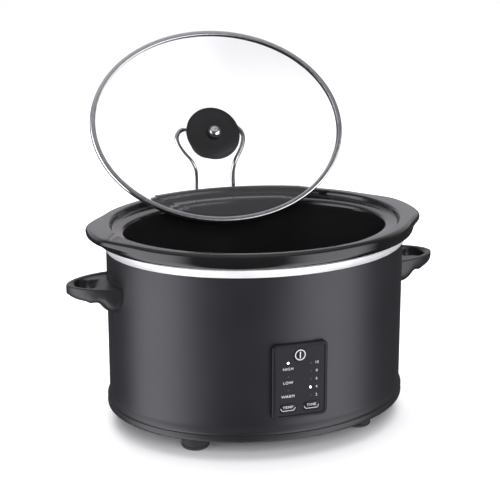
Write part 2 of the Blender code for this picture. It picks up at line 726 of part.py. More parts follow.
def make_bezel():
    """The frame stands on the shell and its collar passes through the shell's window."""
    depth = PANEL_FRONT - BODY[1] + COLLAR_DEPTH
    outline = rounded_rectangle(PANEL_HALF_WIDTH, PANEL_HALF_HEIGHT, PANEL_CORNER)
    frame = plate("control_bezel", outline, depth, edge=PANEL_EDGE)
    along_y(frame, 0, -PANEL_FRONT + depth / 2, PANEL_MIDDLE)
    link(frame, "black_plastic")
    collar = (window_half()[0] - CLEAR, window_half()[1] - CLEAR)
    outside = cutter(oval_block("bezel_seat", grown(BODY, CLEAR), 10, 150))
    keep = cutter(box("bezel_collar", (-collar[0], -BODY[1] - 1, PANEL_MIDDLE - collar[1]),
                      (collar[0], -BODY[1] + COLLAR_DEPTH, PANEL_MIDDLE + collar[1])))
    boolean(outside, keep)
    boolean(frame, outside)
    half_width = FACE_HALF[0] + CLEAR
    half_height = FACE_HALF[1] + CLEAR
    opening = box("bezel_opening", (-half_width, -PANEL_FRONT - 5, PANEL_MIDDLE - half_height),
                  (half_width, -60, PANEL_MIDDLE + half_height))
    boolean(frame, cutter(opening))


def key_outlines():
    """Name, centre (x, z) and outline of each key."""
    turns = [2 * math.pi * i / 24 for i in range(24)]
    power = [(POWER_KEY_RADIUS * math.cos(turn), POWER_KEY_RADIUS * math.sin(turn)) for turn in turns]
    menu = rounded_rectangle(MENU_KEY_WIDTH / 2, MENU_KEY_HEIGHT / 2, 2.0, 3)
    menu_height = PANEL_LOW + MENU_KEY_RAISE
    return [("power_key", (0.0, PANEL_HIGH - POWER_KEY_DROP), power),
            ("temp_key", (TEMP_COLUMN, menu_height), menu),
            ("time_key", (TIME_KEY_COLUMN, menu_height), menu)]


def scaled(outline, by):
    """An outline about its own centre, grown by a distance along X and Y."""
    reach = max(abs(x) for x, y in outline)
    height = max(abs(y) for x, y in outline)
    return [(x * (reach + by) / reach, y * (height + by) / height) for x, y in outline]


def lamps():
    """Name and place (x, z) of each lamp, down the two columns."""
    found = []
    for row, name in enumerate(("high", "low", "warm")):
        found.append(("lamp_" + name, TEMP_COLUMN, PANEL_HIGH - TEMP_LAMP_DROP - row * TEMP_LAMP_PITCH))
    column = TIME_KEY_COLUMN - TIME_LAMP_SHIFT
    for row, hours in enumerate((10, 8, 6, 4, 2)):
        height = PANEL_HIGH - TIME_LAMP_DROP - row * TIME_LAMP_PITCH
        found.append((f"lamp_{hours}_hours", column, height))
    return found


def make_face():
    outline = rounded_rectangle(FACE_HALF[0], FACE_HALF[1], 2.0, 3)
    face = plate("panel_face", outline, FACE_THICKNESS)
    along_y(face, 0, -(FACE_FRONT + FACE_BACK) / 2, PANEL_MIDDLE)
    link(face, "gloss_black")
    for name, (x, z), shape in key_outlines():
        hole = plate("hole_for_" + name, scaled(shape, CLEAR + 0.1), 20)
        boolean(face, cutter(along_y(hole, x, -FACE_FRONT, z)))
    for name, x, z in lamps():
        hole = cylinder("hole_for_" + name, LAMP_RADIUS + CLEAR, 20, 12)
        boolean(face, cutter(along_y(hole, x, -FACE_FRONT, z)))


def make_keys():
    for name, (x, z), shape in key_outlines():
        front = FACE_FRONT + 0.1
        neck = front - (FACE_BACK - CLEAR) + 0.6
        key = plate(name, shape, neck, edge=0.3, edge_steps=0)
        along_y(key, x, -front + neck / 2, z)
        link(key, "gloss_black")
        flange = cutter(plate("flange_of_" + name, scaled(shape, KEY_FLANGE), 1.2))
        along_y(flange, x, -(FACE_BACK - CLEAR - 0.6), z)
        boolean(key, flange, "UNION")
        tail_length = FACE_BACK - CLEAR - 1.0 - KEY_TAIL
        tail = cutter(cylinder("tail_of_" + name, 1.8, tail_length, 12))
        along_y(tail, x, -(KEY_TAIL + tail_length / 2), z)
        boolean(key, tail, "UNION")
        switch = cylinder("switch_for_" + name, 1.6, 1.6, 12)
        along_y(switch, x, -(SWITCH_FRONT - 0.8), z)
        cutter(switch)
        case = box(name.replace("key", "switch"), (x - 3, -SWITCH_FRONT + 1.2, z - 3),
                   (x + 3, -BOARD_FRONT - CLEAR, z + 3))
        link(case, "switch_grey")
        boolean(case, switch, "UNION")


def make_lamps():
    for name, x, z in lamps():
        length = FACE_FRONT + 0.1 - BOARD_FRONT - CLEAR
        lamp = turned(name, [(0.0, length), (LAMP_RADIUS - 0.2, length), (LAMP_RADIUS, length - 0.3),
                             (LAMP_RADIUS, 0.0), (0.0, 0.0)], steps=10)
        link(along_y(lamp, x, -BOARD_FRONT - CLEAR, z), "lamp")


def make_control_board():
    half_width, half_height = FACE_HALF
    board = box("control_board", (-half_width, -BOARD_FRONT, PANEL_LOW + 5),
                (half_width, -BOARD_FRONT + BOARD_THICKNESS, PANEL_HIGH - 5))
    link(board, "board_green")
    chip = box("control_chip", (-6, -BOARD_FRONT + BOARD_THICKNESS + CLEAR, PANEL_MIDDLE - 6),
               (6, -BOARD_FRONT + BOARD_THICKNESS + CLEAR + 1.6, PANEL_MIDDLE + 6))
    link(chip, "component")


# ---------------------------------------------------------------- crock

def make_crock():
    ledge_outer = grown(RECESS, -2.2)
    lower_rim = RIM_UNDERSIDE
    sections = [(crock_outside(z), z) for z in wall_heights(CROCK_BOTTOM, OUTER_CORNER, RIM_UNDERSIDE - 8)]
    sections += [
        (grown(cavity_at(MOUTH), CROCK_WALL + 1.0), lower_rim),
        (grown(RIM, -4.0), lower_rim),
        (grown(RIM, -1.2), lower_rim + 1.4),
        (RIM, lower_rim + 4.6),
        (grown(RIM, -0.2), lower_rim + 8.6),
        (grown(RIM, -1.4), RIM_TOP - 1.8),
        (grown(RIM, -3.8), RIM_TOP),
        (grown(RECESS, 0.8), RIM_TOP),
        (RECESS, RIM_TOP - 0.8),
        (grown(RECESS, -1.2), LEDGE_TOP),
        (ledge_outer, LEDGE_TOP - 0.9),
        (grown(CAVITY, 1.6), MOUTH + 0.9),
        (CAVITY, MOUTH - 0.8)]
    inside = wall_heights(CAVITY_FLOOR, CAVITY_CORNER, MOUTH - 16)
    sections += [(cavity_at(z), z) for z in reversed(inside)]
    crock = loft("crock", sections)
    link(crock, "glaze", CROCK_FRAME)
    for side, word in ((-1, "left"), (1, "right")):
        ear = plate("ear_" + word, ear_outline(side), EAR_THICKNESS, edge=2.2)
        ear.location = Vector((0, 0, RIM_TOP - EAR_THICKNESS / 2 - 0.02)) * MM
        boolean(crock, cutter(ear, CROCK_FRAME), "UNION")
    return crock


def ear_outline(side):
    """A broad rounded ear whose inner edge stays inside the rim's wall."""
    centre = RIM[0] - EAR_ROOT
    reach = RIM[0] + EAR_REACH - centre
    points = []
    count = 30
    for i in range(count + 1):
        angle = math.pi * (i / count - 0.5)
        x, y = superellipse_point(reach, EAR_HALF_WIDTH, 2.4, angle)
        inner = 0.5 * (RIM[0] + RECESS[0] + 0.8)
        floor = inner * math.sqrt(1 - (y / (0.5 * (RIM[1] + RECESS[1]))) ** 2)
        points.append((side * max(centre + x, floor), y))
    for i in range(count, -1, -1):
        y = EAR_HALF_WIDTH * (2 * i / count - 1) * 0.985
        inner = 0.5 * (RIM[0] + RECESS[0] + 0.8) - 2.0
        points.append((side * inner * math.sqrt(1 - (y / (0.5 * (RIM[1] + RECESS[1]) - 2.0)) ** 2), y))
    if side < 0:
        points.reverse()
    return points


# ---------------------------------------------------------------- lid

def dome(share):
    """Section of the glass's outer face, from the knob's seat (0) to the foot of the dome (1)."""
    foot = grown(LID, -LID_LIP - 4.0)
    reach = (DOME_SEAT + (foot[0] - DOME_SEAT) * share, DOME_SEAT + (foot[1] - DOME_SEAT) * share)
    return reach, DOME_EDGE + (DOME_HEIGHT - DOME_EDGE) * (1 - share ** 2.3)


def make_lid():
    shares = [1.0, 0.92, 0.78, 0.58, 0.34, 0.0]
    edge = grown(LID, -RIM_SHEET - CLEAR)
    outer = [(edge, GLASS / 2), (grown(LID, -LID_LIP - 1.5), GLASS / 2)]
    outer += [dome(share) for share in shares]
    bore = (LID_SCREW_RADIUS + 1.0, LID_SCREW_RADIUS + 1.0)
    outer.append((bore, DOME_HEIGHT))
    inner = [(bore, DOME_HEIGHT - GLASS)]
    for share in reversed(shares):
        size, height = dome(share)
        inner.append((grown(size, -2.4 * share ** 2), height - GLASS))
    inner += [(grown(LID, -LID_LIP - 2.5), -GLASS / 2), (edge, -GLASS / 2)]
    link(loft("lid_glass", outer + inner, closed=True), "silicone", LID_FRAME)

    gap = GLASS / 2 + CLEAR
    half = RIM_HALF_HEIGHT
    sheet = RIM_SHEET
    channel = [(-0.7, half), (0.0, half - 0.9), (0.0, 0.9 - half), (-0.7, -half), (-LID_LIP, -half),
               (-LID_LIP, -gap), (-sheet, -gap), (-sheet, gap), (-LID_LIP, gap), (-LID_LIP, half)]
    rim = loft("lid_rim", [(grown(LID, offset), height) for offset, height in channel], closed=True)
    link(rim, "chrome", LID_FRAME)


def make_knob():
    low = DOME_HEIGHT + CLEAR
    gasket_bore = LID_SCREW_RADIUS + 1.0
    gasket = turned("knob_gasket", [(KNOB_FLANGE - 2.0, low + GASKET), (KNOB_FLANGE - 2.0, low),
                                    (gasket_bore, low), (gasket_bore, low + GASKET)], ring=True)
    link(gasket, "silicone", LID_FRAME)
    base = KNOB_BASE
    flange = KNOB_FLANGE_TOP
    head = flange + KNOB_GRIP
    top = head + KNOB_HEAD_HEIGHT
    bore = LID_SCREW_RADIUS + CLEAR
    blind = base + 16.0
    profile = [(0.0, top), (0.38 * KNOB_HEAD, top - 0.4), (0.71 * KNOB_HEAD, top - 1.8),
               (0.92 * KNOB_HEAD, top - 4.4), (KNOB_HEAD, top - 7.4),
               (KNOB_HEAD, head + 1.6), (KNOB_HEAD - 1.6, head), (KNOB_NECK + 3.0, head - 1.4),
               (KNOB_NECK, head - 5.0), (KNOB_NECK, flange + 1.6), (KNOB_NECK + 1.6, flange),
               (KNOB_FLANGE - 1.0, flange - 0.4), (KNOB_FLANGE, flange - 1.4), (KNOB_FLANGE, base),
               (bore, base), (bore, blind), (0.0, blind)]
    link(turned("lid_knob", profile, steps=28), "black_plastic", LID_FRAME)
    under = DOME_HEIGHT - GLASS - CLEAR
    washer_low = under - 0.8
    washer = turned("screw_washer", [(LID_WASHER, under), (LID_WASHER, washer_low + 0.2),
                                     (LID_WASHER - 0.2, washer_low), (bore + 0.2, washer_low),
                                     (bore + 0.2, under)], ring=True)
    link(washer, "silicone", LID_FRAME)
    head_low = washer_low - CLEAR
    screw = turned("lid_screw", [
        (0.0, blind - 1.0), (LID_SCREW_RADIUS, blind - 1.0), (LID_SCREW_RADIUS, head_low),
        (LID_SCREW_HEAD, head_low), (LID_SCREW_HEAD, head_low - 1.0),
        (LID_SCREW_HEAD - 1.2, head_low - 2.0),
        (0.0, head_low - 2.4)], steps=20)
    link(screw, "chrome", LID_FRAME)


# ---------------------------------------------------------------- lid rest

def hook_point(x, v):
    """A point of the hook, which lies parallel to the leaning lid, between its glass and knob."""
    lean = LID_LEAN
    y = LID_CENTRE[1] + WIRE_PLANE * math.cos(lean) + v * math.sin(lean)
    z = LID_CENTRE[2] - WIRE_PLANE * math.sin(lean) + v * math.cos(lean)
    return Vector((x, y, z))


def make_wire():
    """Half the hook is drawn from the middle of the saddle out to the leg's foot, then mirrored."""
    saddle = KNOB_NECK + WIRE_RADIUS + 0.8
    s = WIRE_HALF_SPACING
    hook = [(0.0, -saddle), (0.42 * s, 0.4 - saddle), (s - 5.5, 3.0 - saddle), (s - 1.4, -4.5),
            (s + 1.2, 4.6), (s + 5.6, 10.4), (s + 11.0, 9.4), (s + 15.0, 4.0), (s + 15.6, -2.6),
            (s + 13.0, -10.4), (s + 9.0, -17.4), (s + 4.8, -23.6)]
    bend = (WIRE_Y - hook_point(0, 0).y) / math.sin(LID_LEAN)
    shoulder = hook_point(0, bend).z
    knots = [hook_point(x, v) for x, v in hook]
    knots += [Vector((s + 1.4, WIRE_Y, shoulder - 4.0)), Vector((s, WIRE_Y, shoulder - 12.5)),
              Vector((s, WIRE_Y, shoulder - 24.0))]
    half = smooth_path(knots, 3)
    half.append(Vector((s, WIRE_Y, WIRE_FOOT)))
    points = [Vector((-p.x, p.y, p.z)) for p in reversed(half[1:])] + half
    hook_wire = to_mesh(wire("lid_rest_wire", points, WIRE_RADIUS))
    link(hook_wire, "chrome", WIRE_FRAME)


def bracket_screw_heights():
    inset = 12.0
    return (GUIDE_BOTTOM + inset, GUIDE_TOP - inset)


def make_bracket():
    """A moulded block behind the shell with a guide for each leg of the lid rest."""
    guide = WIRE_RADIUS + GUIDE_CLEAR
    back = WIRE_Y + guide + BRACKET_WALL
    front = body_y(BRACKET_HALF_WIDTH)
    low = GUIDE_BOTTOM - BRACKET_WALL
    depth = back - front + 8
    outline = rounded_rectangle(BRACKET_HALF_WIDTH, depth / 2, 4.0)
    bracket = plate("lid_rest_bracket", outline, GUIDE_TOP - low, edge=1.2, edge_steps=1)
    bracket.location = Vector((0, back - depth / 2, (GUIDE_TOP + low) / 2)) * MM
    link(bracket, "black_plastic")
    boolean(bracket, cutter(oval_block("bracket_seat", grown(BODY, CLEAR), 20, 200)))
    for side, x in (("left", -WIRE_HALF_SPACING), ("right", WIRE_HALF_SPACING)):
        depth = GUIDE_TOP - GUIDE_BOTTOM + 10
        bore = cylinder("guide_" + side, guide, depth, 16)
        bore.location = Vector((x, WIRE_Y, GUIDE_BOTTOM + depth / 2)) * MM
        boolean(bracket, cutter(bore))
    shank = 6.5
    for word, height in zip(("lower", "upper"), bracket_screw_heights()):
        inside = BODY[1] - SHELL_WALL - CLEAR
        hole = cylinder("bracket_bore_" + word, HANDLE_SCREW_RADIUS + CLEAR, 2 * shank + 1, 12)
        boolean(bracket, cutter(along_y(hole, 0, inside, height)))
        screw = turned("bracket_screw_" + word, [
            (0.0, shank), (HANDLE_SCREW_RADIUS, shank), (HANDLE_SCREW_RADIUS, 0.0), (SCREW_HEAD, 0.0),
            (SCREW_HEAD, -1.0), (2.2, -1.8), (0.0, -1.8)], steps=12)
        screw.location = Vector((0, inside, height)) * MM
        screw.rotation_euler = (math.radians(-90), 0.0, 0.0)
        link(screw, "bright_steel")


def make_gland():
    """Grommet in the rear of the shell where the supply cord would enter."""
    collar = GLAND_RADIUS + 2.0
    gland = turned("cord_gland", [
        (GLAND_RADIUS - 1.5, 4.2), (collar, 2.6), (collar, CLEAR), (GLAND_RADIUS, CLEAR),
        (GLAND_RADIUS, -8.5), (GLAND_BORE, -8.5), (GLAND_BORE, 4.2)], ring=True)
    gland.location = Vector((0.0, BODY[1], GLAND_HEIGHT)) * MM
    gland.rotation_euler = (math.radians(-90), 0.0, 0.0)
    link(gland, "black_plastic")


# ---------------------------------------------------------------- assembly

def moving_frame(name, place, parent):
    frame = bpy.data.objects.new(name, None)
    PARTS.objects.link(frame)
    frame.parent = parent
    frame.location = Vector(place) * MM
    return frame


def centre_on_origin():
    """Moves the whole cooker so that its footprint is centred on the origin."""
    bpy.context.view_layer.update()
    graph = bpy.context.evaluated_depsgraph_get()
    lows = []
    highs = []
    for obj in PARTS.objects:
        if obj.type == "EMPTY":
            continue
        evaluated = obj.evaluated_get(graph)
        mesh = evaluated.to_mesh()
        depths = [(evaluated.matrix_world @ vertex.co).y for vertex in mesh.vertices]
        lows.append(min(depths))
        highs.append(max(depths))
        evaluated.to_mesh_clear()
    COOKER.location.y -= (min(lows) + max(highs)) / 2


clear_scene()
PARTS = new_collection("slow_cooker")
CUTTERS = new_collection("cutters")
COOKER = bpy.data.objects.new("cooker_frame", None)
PARTS.objects.link(COOKER)
CROCK_FRAME = moving_frame("crock_frame", (0, 0, 0), COOKER)
LID_FRAME = moving_frame("lid_frame", LID_CENTRE, COOKER)
LID_FRAME.rotation_euler = (-(math.pi / 2 + LID_LEAN), 0.0, 0.0)
WIRE_FRAME = moving_frame("lid_rest_frame", (0, 0, 0), COOKER)

make_shell()
make_base_pan()
make_feet()
make_trim()
make_liner()
make_heater()
make_stud()
make_sensor()
make_fuse()
make_power_board()
make_handle("handle_left", -1)
make_handle("handle_right", 1)
make_bezel()
make_face()
make_keys()
make_lamps()
make_control_board()
make_crock()
make_lid()
make_knob()
make_wire()
make_bracket()
make_gland()
centre_on_origin()
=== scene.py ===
"""Looks of the oval slow cooker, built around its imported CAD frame.

Lengths below are in millimetres and MM turns them into metres. Every piece is placed from the frame: the
middle of the housing is X = 0, Y = MIDDLE, and +Z is up.
"""

import math

import bmesh
import bpy
from mathutils import Matrix, Vector


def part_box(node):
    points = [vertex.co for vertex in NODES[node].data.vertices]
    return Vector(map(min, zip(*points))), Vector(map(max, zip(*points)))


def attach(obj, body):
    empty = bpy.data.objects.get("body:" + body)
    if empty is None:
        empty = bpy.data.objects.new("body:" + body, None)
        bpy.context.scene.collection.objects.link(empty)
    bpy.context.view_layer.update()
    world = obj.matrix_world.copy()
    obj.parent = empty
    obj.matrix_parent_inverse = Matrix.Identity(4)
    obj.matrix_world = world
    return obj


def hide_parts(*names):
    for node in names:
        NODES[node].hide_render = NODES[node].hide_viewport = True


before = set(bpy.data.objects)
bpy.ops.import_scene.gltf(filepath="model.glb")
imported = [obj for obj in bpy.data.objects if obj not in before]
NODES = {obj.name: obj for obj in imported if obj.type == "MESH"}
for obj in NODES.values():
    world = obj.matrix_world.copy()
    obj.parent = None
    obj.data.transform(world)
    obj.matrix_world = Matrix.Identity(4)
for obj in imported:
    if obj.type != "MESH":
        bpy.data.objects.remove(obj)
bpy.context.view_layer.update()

MM = 0.001
UPRIGHT = Matrix.Rotation(math.pi / 2, 4, "X")     # stands a piece drawn in XY up, facing the front
UPSIDE_DOWN = Matrix.Rotation(math.pi, 4, "X")


def node_box(name):
    """Lowest and highest corner of a CAD node, in millimetres."""
    low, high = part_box(name)
    return Vector(low) / MM, Vector(high) / MM


def node_centre(name):
    low, high = node_box(name)
    return (low + high) / 2


# ---------------------------------------------------------------- sizes read from the frame

SHELL_LOW, SHELL_HIGH = node_box("body_shell")
PAN_LOW = node_box("base_pan")[0]
TRIM_HIGH = node_box("trim_band")[1]
LINER_LOW, LINER_HIGH = node_box("heating_liner")
CROCK_LOW, CROCK_HIGH = node_box("crock")
RIM_LOW, RIM_HIGH = node_box("lid_rim")
KNOB_LOW, KNOB_HIGH = node_box("lid_knob")
BEZEL_LOW, BEZEL_HIGH = node_box("control_bezel")
FACE_LOW, FACE_HIGH = node_box("panel_face")
BRACKET_LOW, BRACKET_HIGH = node_box("lid_rest_bracket")
WIRE_LOW = node_box("lid_rest_wire")[0]

MIDDLE = (SHELL_LOW.y + SHELL_HIGH.y) / 2
BEAD = 2.4               # how far the housing's foot swells out
BODY = (SHELL_HIGH.x - BEAD, (SHELL_HIGH.y - SHELL_LOW.y) / 2 - BEAD)      # half axes, as are the next three
EAR_REACH = 8.5
RIM = (CROCK_HIGH.x - EAR_REACH, (CROCK_HIGH.y - CROCK_LOW.y) / 2)
RECESS = (BODY[0] - 4.2, BODY[1] - 0.9)
CAVITY = (BODY[0] - 17.0, BODY[1] - 21.4)
RIM_TOP = CROCK_HIGH.z
CROCK_WALL = 6.0
CAVITY_FLOOR = CROCK_LOW.z + 6.5
MOUTH = RIM_TOP - 8.4
EAR_THICKNESS = 7.5
PANEL_CENTRE = (BEZEL_LOW.z + BEZEL_HIGH.z) / 2
FACE_FRONT = FACE_LOW.y
WINDOW_MARGIN = 3.6      # how far the hole behind the panel stays inside the panel's outline
EAR_SPAN = (24.0, 62.0)  # where along Y an ear starts to fade and has faded into the rim
SEAT_GAP = 0.3           # kept by pieces that are mounted on the housing

LID_LEAN = math.radians(31.8)
LID_CENTRE = (RIM_LOW + RIM_HIGH) / 2
LID = (RIM_HIGH.x, 102.9)
GLASS = 4.0
DOME_HEIGHT = 22.5
DOME_SEAT = 12.0         # radius of the flat under the knob
DOME_EDGE = 4.0

ROUND = 224              # facets round the large ovals
SHARP = 38.0             # degrees at which an edge stays an edge
SIGNAL = (0.3, 0.7)      # the part of a noise signal that is drawn out to its whole range


# ---------------------------------------------------------------- node materials

def new_material(name):
    made = bpy.data.materials.new(name)
    made.use_nodes = True
    return made, made.node_tree, made.node_tree.nodes["Principled BSDF"]


def feed(tree, node, **values):
    """Sets a node's properties and inputs by name. A value from another node is linked."""
    for key, value in values.items():
        name = key.replace("_", " ")
        if hasattr(node, key):
            setattr(node, key, value)
        elif isinstance(value, bpy.types.NodeSocket):
            tree.links.new(value, node.inputs[name])
        else:
            node.inputs[name].default_value = value
    return node


def add(tree, kind, **values):
    return feed(tree, tree.nodes.new(kind), **values)


def object_point(tree):
    return add(tree, "ShaderNodeTexCoord").outputs["Object"]


def grain(tree, scale, detail=4.0):
    """A noise signal that stays with the piece it is on."""
    noise = add(tree, "ShaderNodeTexNoise", Vector=object_point(tree), Scale=scale, Detail=detail, Roughness=0.55)
    return noise.outputs["Fac"]


def ramp(tree, fac, low, high):
    """Spreads a grey signal between two colours."""
    node = add(tree, "ShaderNodeValToRGB", Fac=fac)
    for stop, place, colour in zip(node.color_ramp.elements, SIGNAL, (low, high)):
        stop.position = place
        stop.color = (*colour, 1.0)
    return node.outputs["Color"]


def spread(tree, fac, low, high):
    """Spreads a grey signal between two numbers."""
    return add(tree, "ShaderNodeMapRange", Value=fac, From_Min=SIGNAL[0], From_Max=SIGNAL[1], To_Min=low,
               To_Max=high).outputs["Result"]


def bump(tree, height, strength, distance):
    return add(tree, "ShaderNodeBump", Height=height, Strength=strength, Distance=distance).outputs["Normal"]


def surface(name, dark, light, rough, metallic=0.0, blotch=30.0, fine=900.0, bump_depth=0.00004,
            bump_strength=0.3, specular=0.5):
    """A colour that drifts between two shades, with roughness that drifts too and a fine surface grain."""
    made, tree, shader = new_material(name)
    drift = grain(tree, blotch)
    feed(tree, shader, Base_Color=ramp(tree, drift, dark, light), Roughness=spread(tree, drift, *rough),
         Metallic=metallic, Specular_IOR_Level=specular,
         Normal=bump(tree, grain(tree, fine, 3.0), bump_strength, bump_depth))
    return made


def glass_material():
    made, tree, shader = new_material("lid_glass_clear")
    drift = grain(tree, 25.0)
    feed(tree, shader, Base_Color=ramp(tree, drift, (0.90, 0.905, 0.905), (0.925, 0.93, 0.93)),
         Roughness=spread(tree, drift, 0.0, 0.015), Transmission_Weight=1.0, IOR=1.5)
    return made


def lamp_material(name, strength):
    made, tree, shader = new_material(name)
    drift = grain(tree, 400.0)
    feed(tree, shader, Base_Color=ramp(tree, drift, (0.85, 0.9, 0.95), (0.95, 0.97, 1.0)), Roughness=0.25,
         Emission_Color=(0.93, 0.96, 1.0, 1.0), Emission_Strength=strength)
    return made


def brushed(name, dark, light, rough, stretch, scale, strength=0.12):
    """Metal with a fine grain drawn out along one direction."""
    made, tree, shader = new_material(name)
    mapping = add(tree, "ShaderNodeMapping", Vector=object_point(tree), Scale=stretch)
    noise = add(tree, "ShaderNodeTexNoise", Vector=mapping.outputs["Vector"], Scale=scale, Detail=5.0)
    fac = noise.outputs["Fac"]
    feed(tree, shader, Base_Color=ramp(tree, fac, dark, light), Roughness=spread(tree, fac, *rough), Metallic=1.0,
         Normal=bump(tree, fac, strength, 0.00003))
    return made


def make_materials():
    return {
        "shell": surface("shell_satin_paint", (0.0125, 0.012, 0.0145), (0.0150, 0.0145, 0.017), (0.36, 0.42),
                         0.1, blotch=14.0, fine=1600.0, bump_depth=0.00002, bump_strength=0.12),
        "plastic": surface("moulded_black_plastic", (0.0085, 0.008, 0.0092), (0.012, 0.0115, 0.013),
                           (0.36, 0.44), fine=1400.0, bump_depth=0.00005, bump_strength=0.25),
        "panel": surface("panel_satin_black", (0.0085, 0.008, 0.010), (0.011, 0.0105, 0.013), (0.30, 0.38),
                         fine=1800.0, bump_depth=0.00002, bump_strength=0.1, specular=0.2),
        "glaze": surface("crock_black_glaze", (0.0065, 0.006, 0.0063), (0.010, 0.0095, 0.0098), (0.07, 0.12),
                         blotch=22.0, fine=70.0, bump_depth=0.00012, bump_strength=0.12),
        # The trim's near-white base colour is partly the band's own pale steel and partly a painted highlight,
        # standing in for the bright reflection of the steel band.
        "trim": surface("trim_steel_painted_highlight", (0.93, 0.93, 0.935), (0.97, 0.97, 0.975), (0.3, 0.4), 0.2,
                        blotch=60.0, fine=900.0, bump_strength=0.06),
        "liner": brushed("liner_aluminised_sheet", (0.55, 0.55, 0.56), (0.68, 0.68, 0.69), (0.3, 0.45),
                         (1.0, 1.0, 25.0), 50.0),
        "lid_rim": brushed("lid_rim_steel", (0.74, 0.74, 0.75), (0.84, 0.84, 0.85), (0.15, 0.22),
                           (1.0, 1.0, 1.0), 200.0, 0.05),
        "chrome": surface("polished_chrome", (0.72, 0.72, 0.73), (0.82, 0.82, 0.83), (0.08, 0.13), 1.0,
                          blotch=120.0, fine=900.0, bump_depth=0.00001, bump_strength=0.05),
        "screw": surface("zinc_plated_steel", (0.5, 0.5, 0.5), (0.66, 0.65, 0.62), (0.25, 0.42), 1.0,
                         blotch=300.0, fine=2500.0, bump_strength=0.15),
        "rubber": surface("foot_rubber", (0.012, 0.012, 0.012), (0.022, 0.022, 0.022), (0.62, 0.8),
                          fine=1500.0, bump_strength=0.4),
        "silicone": surface("silicone_washer", (0.02, 0.02, 0.021), (0.03, 0.03, 0.031), (0.5, 0.6),
                            fine=1200.0),
        "knob": surface("knob_black", (0.007, 0.0055, 0.0055), (0.010, 0.0085, 0.0085), (0.16, 0.24),
                        fine=1500.0, bump_strength=0.08),
        "print": surface("panel_print", (0.66, 0.66, 0.68), (0.74, 0.74, 0.76), (0.5, 0.6), fine=2500.0,
                         bump_strength=0.05),
        "mica": surface("heater_mica", (0.36, 0.31, 0.22), (0.55, 0.48, 0.36), (0.6, 0.8), fine=500.0),
        "board": surface("circuit_board", (0.01, 0.10, 0.035), (0.02, 0.17, 0.06), (0.35, 0.5), fine=900.0),
        "component": surface("component_blue", (0.03, 0.06, 0.16), (0.05, 0.09, 0.22), (0.4, 0.5)),
        "grey": surface("component_grey", (0.25, 0.25, 0.26), (0.36, 0.36, 0.37), (0.45, 0.6)),
        "lamp_off": surface("lamp_unlit", (0.018, 0.018, 0.021), (0.026, 0.026, 0.03), (0.2, 0.3),
                            bump_strength=0.05),
        "lamp_on": lamp_material("lamp_lit", 5.0),
        "glass": glass_material(),
    }


MATERIAL = make_materials()


# ---------------------------------------------------------------- mesh helpers

def link(obj):
    bpy.context.scene.collection.objects.link(obj)
    return obj


def place_new(name, mesh, kind, sharp=SHARP):
    """Links a finished mesh as an object, shaded smooth, with its material if it is given one."""
    mesh.shade_smooth()
    mesh.set_sharp_from_angle(angle=math.radians(sharp))
    if kind:
        mesh.materials.clear()
        mesh.materials.append(MATERIAL[kind])
    return link(bpy.data.objects.new(name, mesh))


def finish_mesh(name, bm, kind, matrix=None, sharp=SHARP):
    """Turns the faces of a new shape outward, moves it into place and makes it an object."""
    bmesh.ops.recalc_face_normals(bm, faces=bm.faces)
    mesh = bpy.data.meshes.new(name)
    bm.to_mesh(mesh)
    bm.free()
    if matrix is not None:
        mesh.transform(matrix)
    return place_new(name, mesh, kind, sharp)


def loft(bm, rings, closed):
    """Faces between rings of equally many corners, the last joined to the first or both ends capped."""
    for lower, upper in zip(rings, rings[1:] + rings[:1] if closed else rings[1:]):
        for i in range(len(lower)):
            j = (i + 1) % len(lower)
            bm.faces.new((lower[i], lower[j], upper[j], upper[i]))
    if not closed:
        bm.faces.new(rings[0])
        bm.faces.new(rings[-1])


def passing(p0, p1, p2, p3, t):
    """A place between p1 and p2 on a smooth curve through four knots."""
    return 0.5 * (2 * p1 + (p2 - p0) * t + (2 * p0 - 5 * p1 + 4 * p2 - p3) * t * t
                  + (3 * p1 - p0 - 3 * p2 + p3) * t ** 3)


def ellipse(cx, cy, a, b, count=40):
    return [(cx + a * math.cos(2 * math.pi * k / count), cy + b * math.sin(2 * math.pi * k / count))
            for k in range(count)]


def rounded(points, radius, steps=5, closed=False):
    """A polyline of equal-length tuples with its corners turned into short curves."""
    count = len(points)
    found = []
    for i in range(count):
        if not closed and i in (0, count - 1):
            found.append(tuple(points[i]))
            continue
        before = Vector(points[i - 1])
        here = Vector(points[i])
        after = Vector(points[(i + 1) % count])
        back = min(radius, 0.45 * (before - here).length)
        ahead = min(radius, 0.45 * (after - here).length)
        if back < 1e-6 or ahead < 1e-6:
            found.append(tuple(here))
            continue
        start = here + (before - here).normalized() * back
        end = here + (after - here).normalized() * ahead
        for k in range(steps + 1):
            t = k / steps
            found.append(tuple(start * (1 - t) ** 2 + here * 2 * t * (1 - t) + end * t * t))
    return found


def oval(base, offset, height, ear=0.0):
    """One section: half axes, height and how much of the ears it carries."""
    return (base[0] + offset, base[1] + offset, height, ear)


def ear_push(y):
    """How far the ears stand out from the rim at a place along Y, fading into the rim with a hollow."""
    share = min(1.0, max(0.0, (abs(y) - EAR_SPAN[0]) / (EAR_SPAN[1] - EAR_SPAN[0])))
    return EAR_REACH * (1 - share * share * (3 - 2 * share))


def skin(name, sections, kind, closed=False, sharp=SHARP):
    """A surface through oval sections (half axis, half axis, height, ear), closed on itself or capped."""
    bm = bmesh.new()
    rings = []
    for a, b, height, ear in sections:
        ring = []
        for x, y in ellipse(0, 0, a, b, ROUND):
            if ear > 0:
                x += math.copysign(ear * ear_push(y), x)
            ring.append(bm.verts.new(Vector((x, y + MIDDLE, height)) * MM))
        rings.append(ring)
    loft(bm, rings, closed)
    return finish_mesh(name, bm, kind, sharp=sharp)


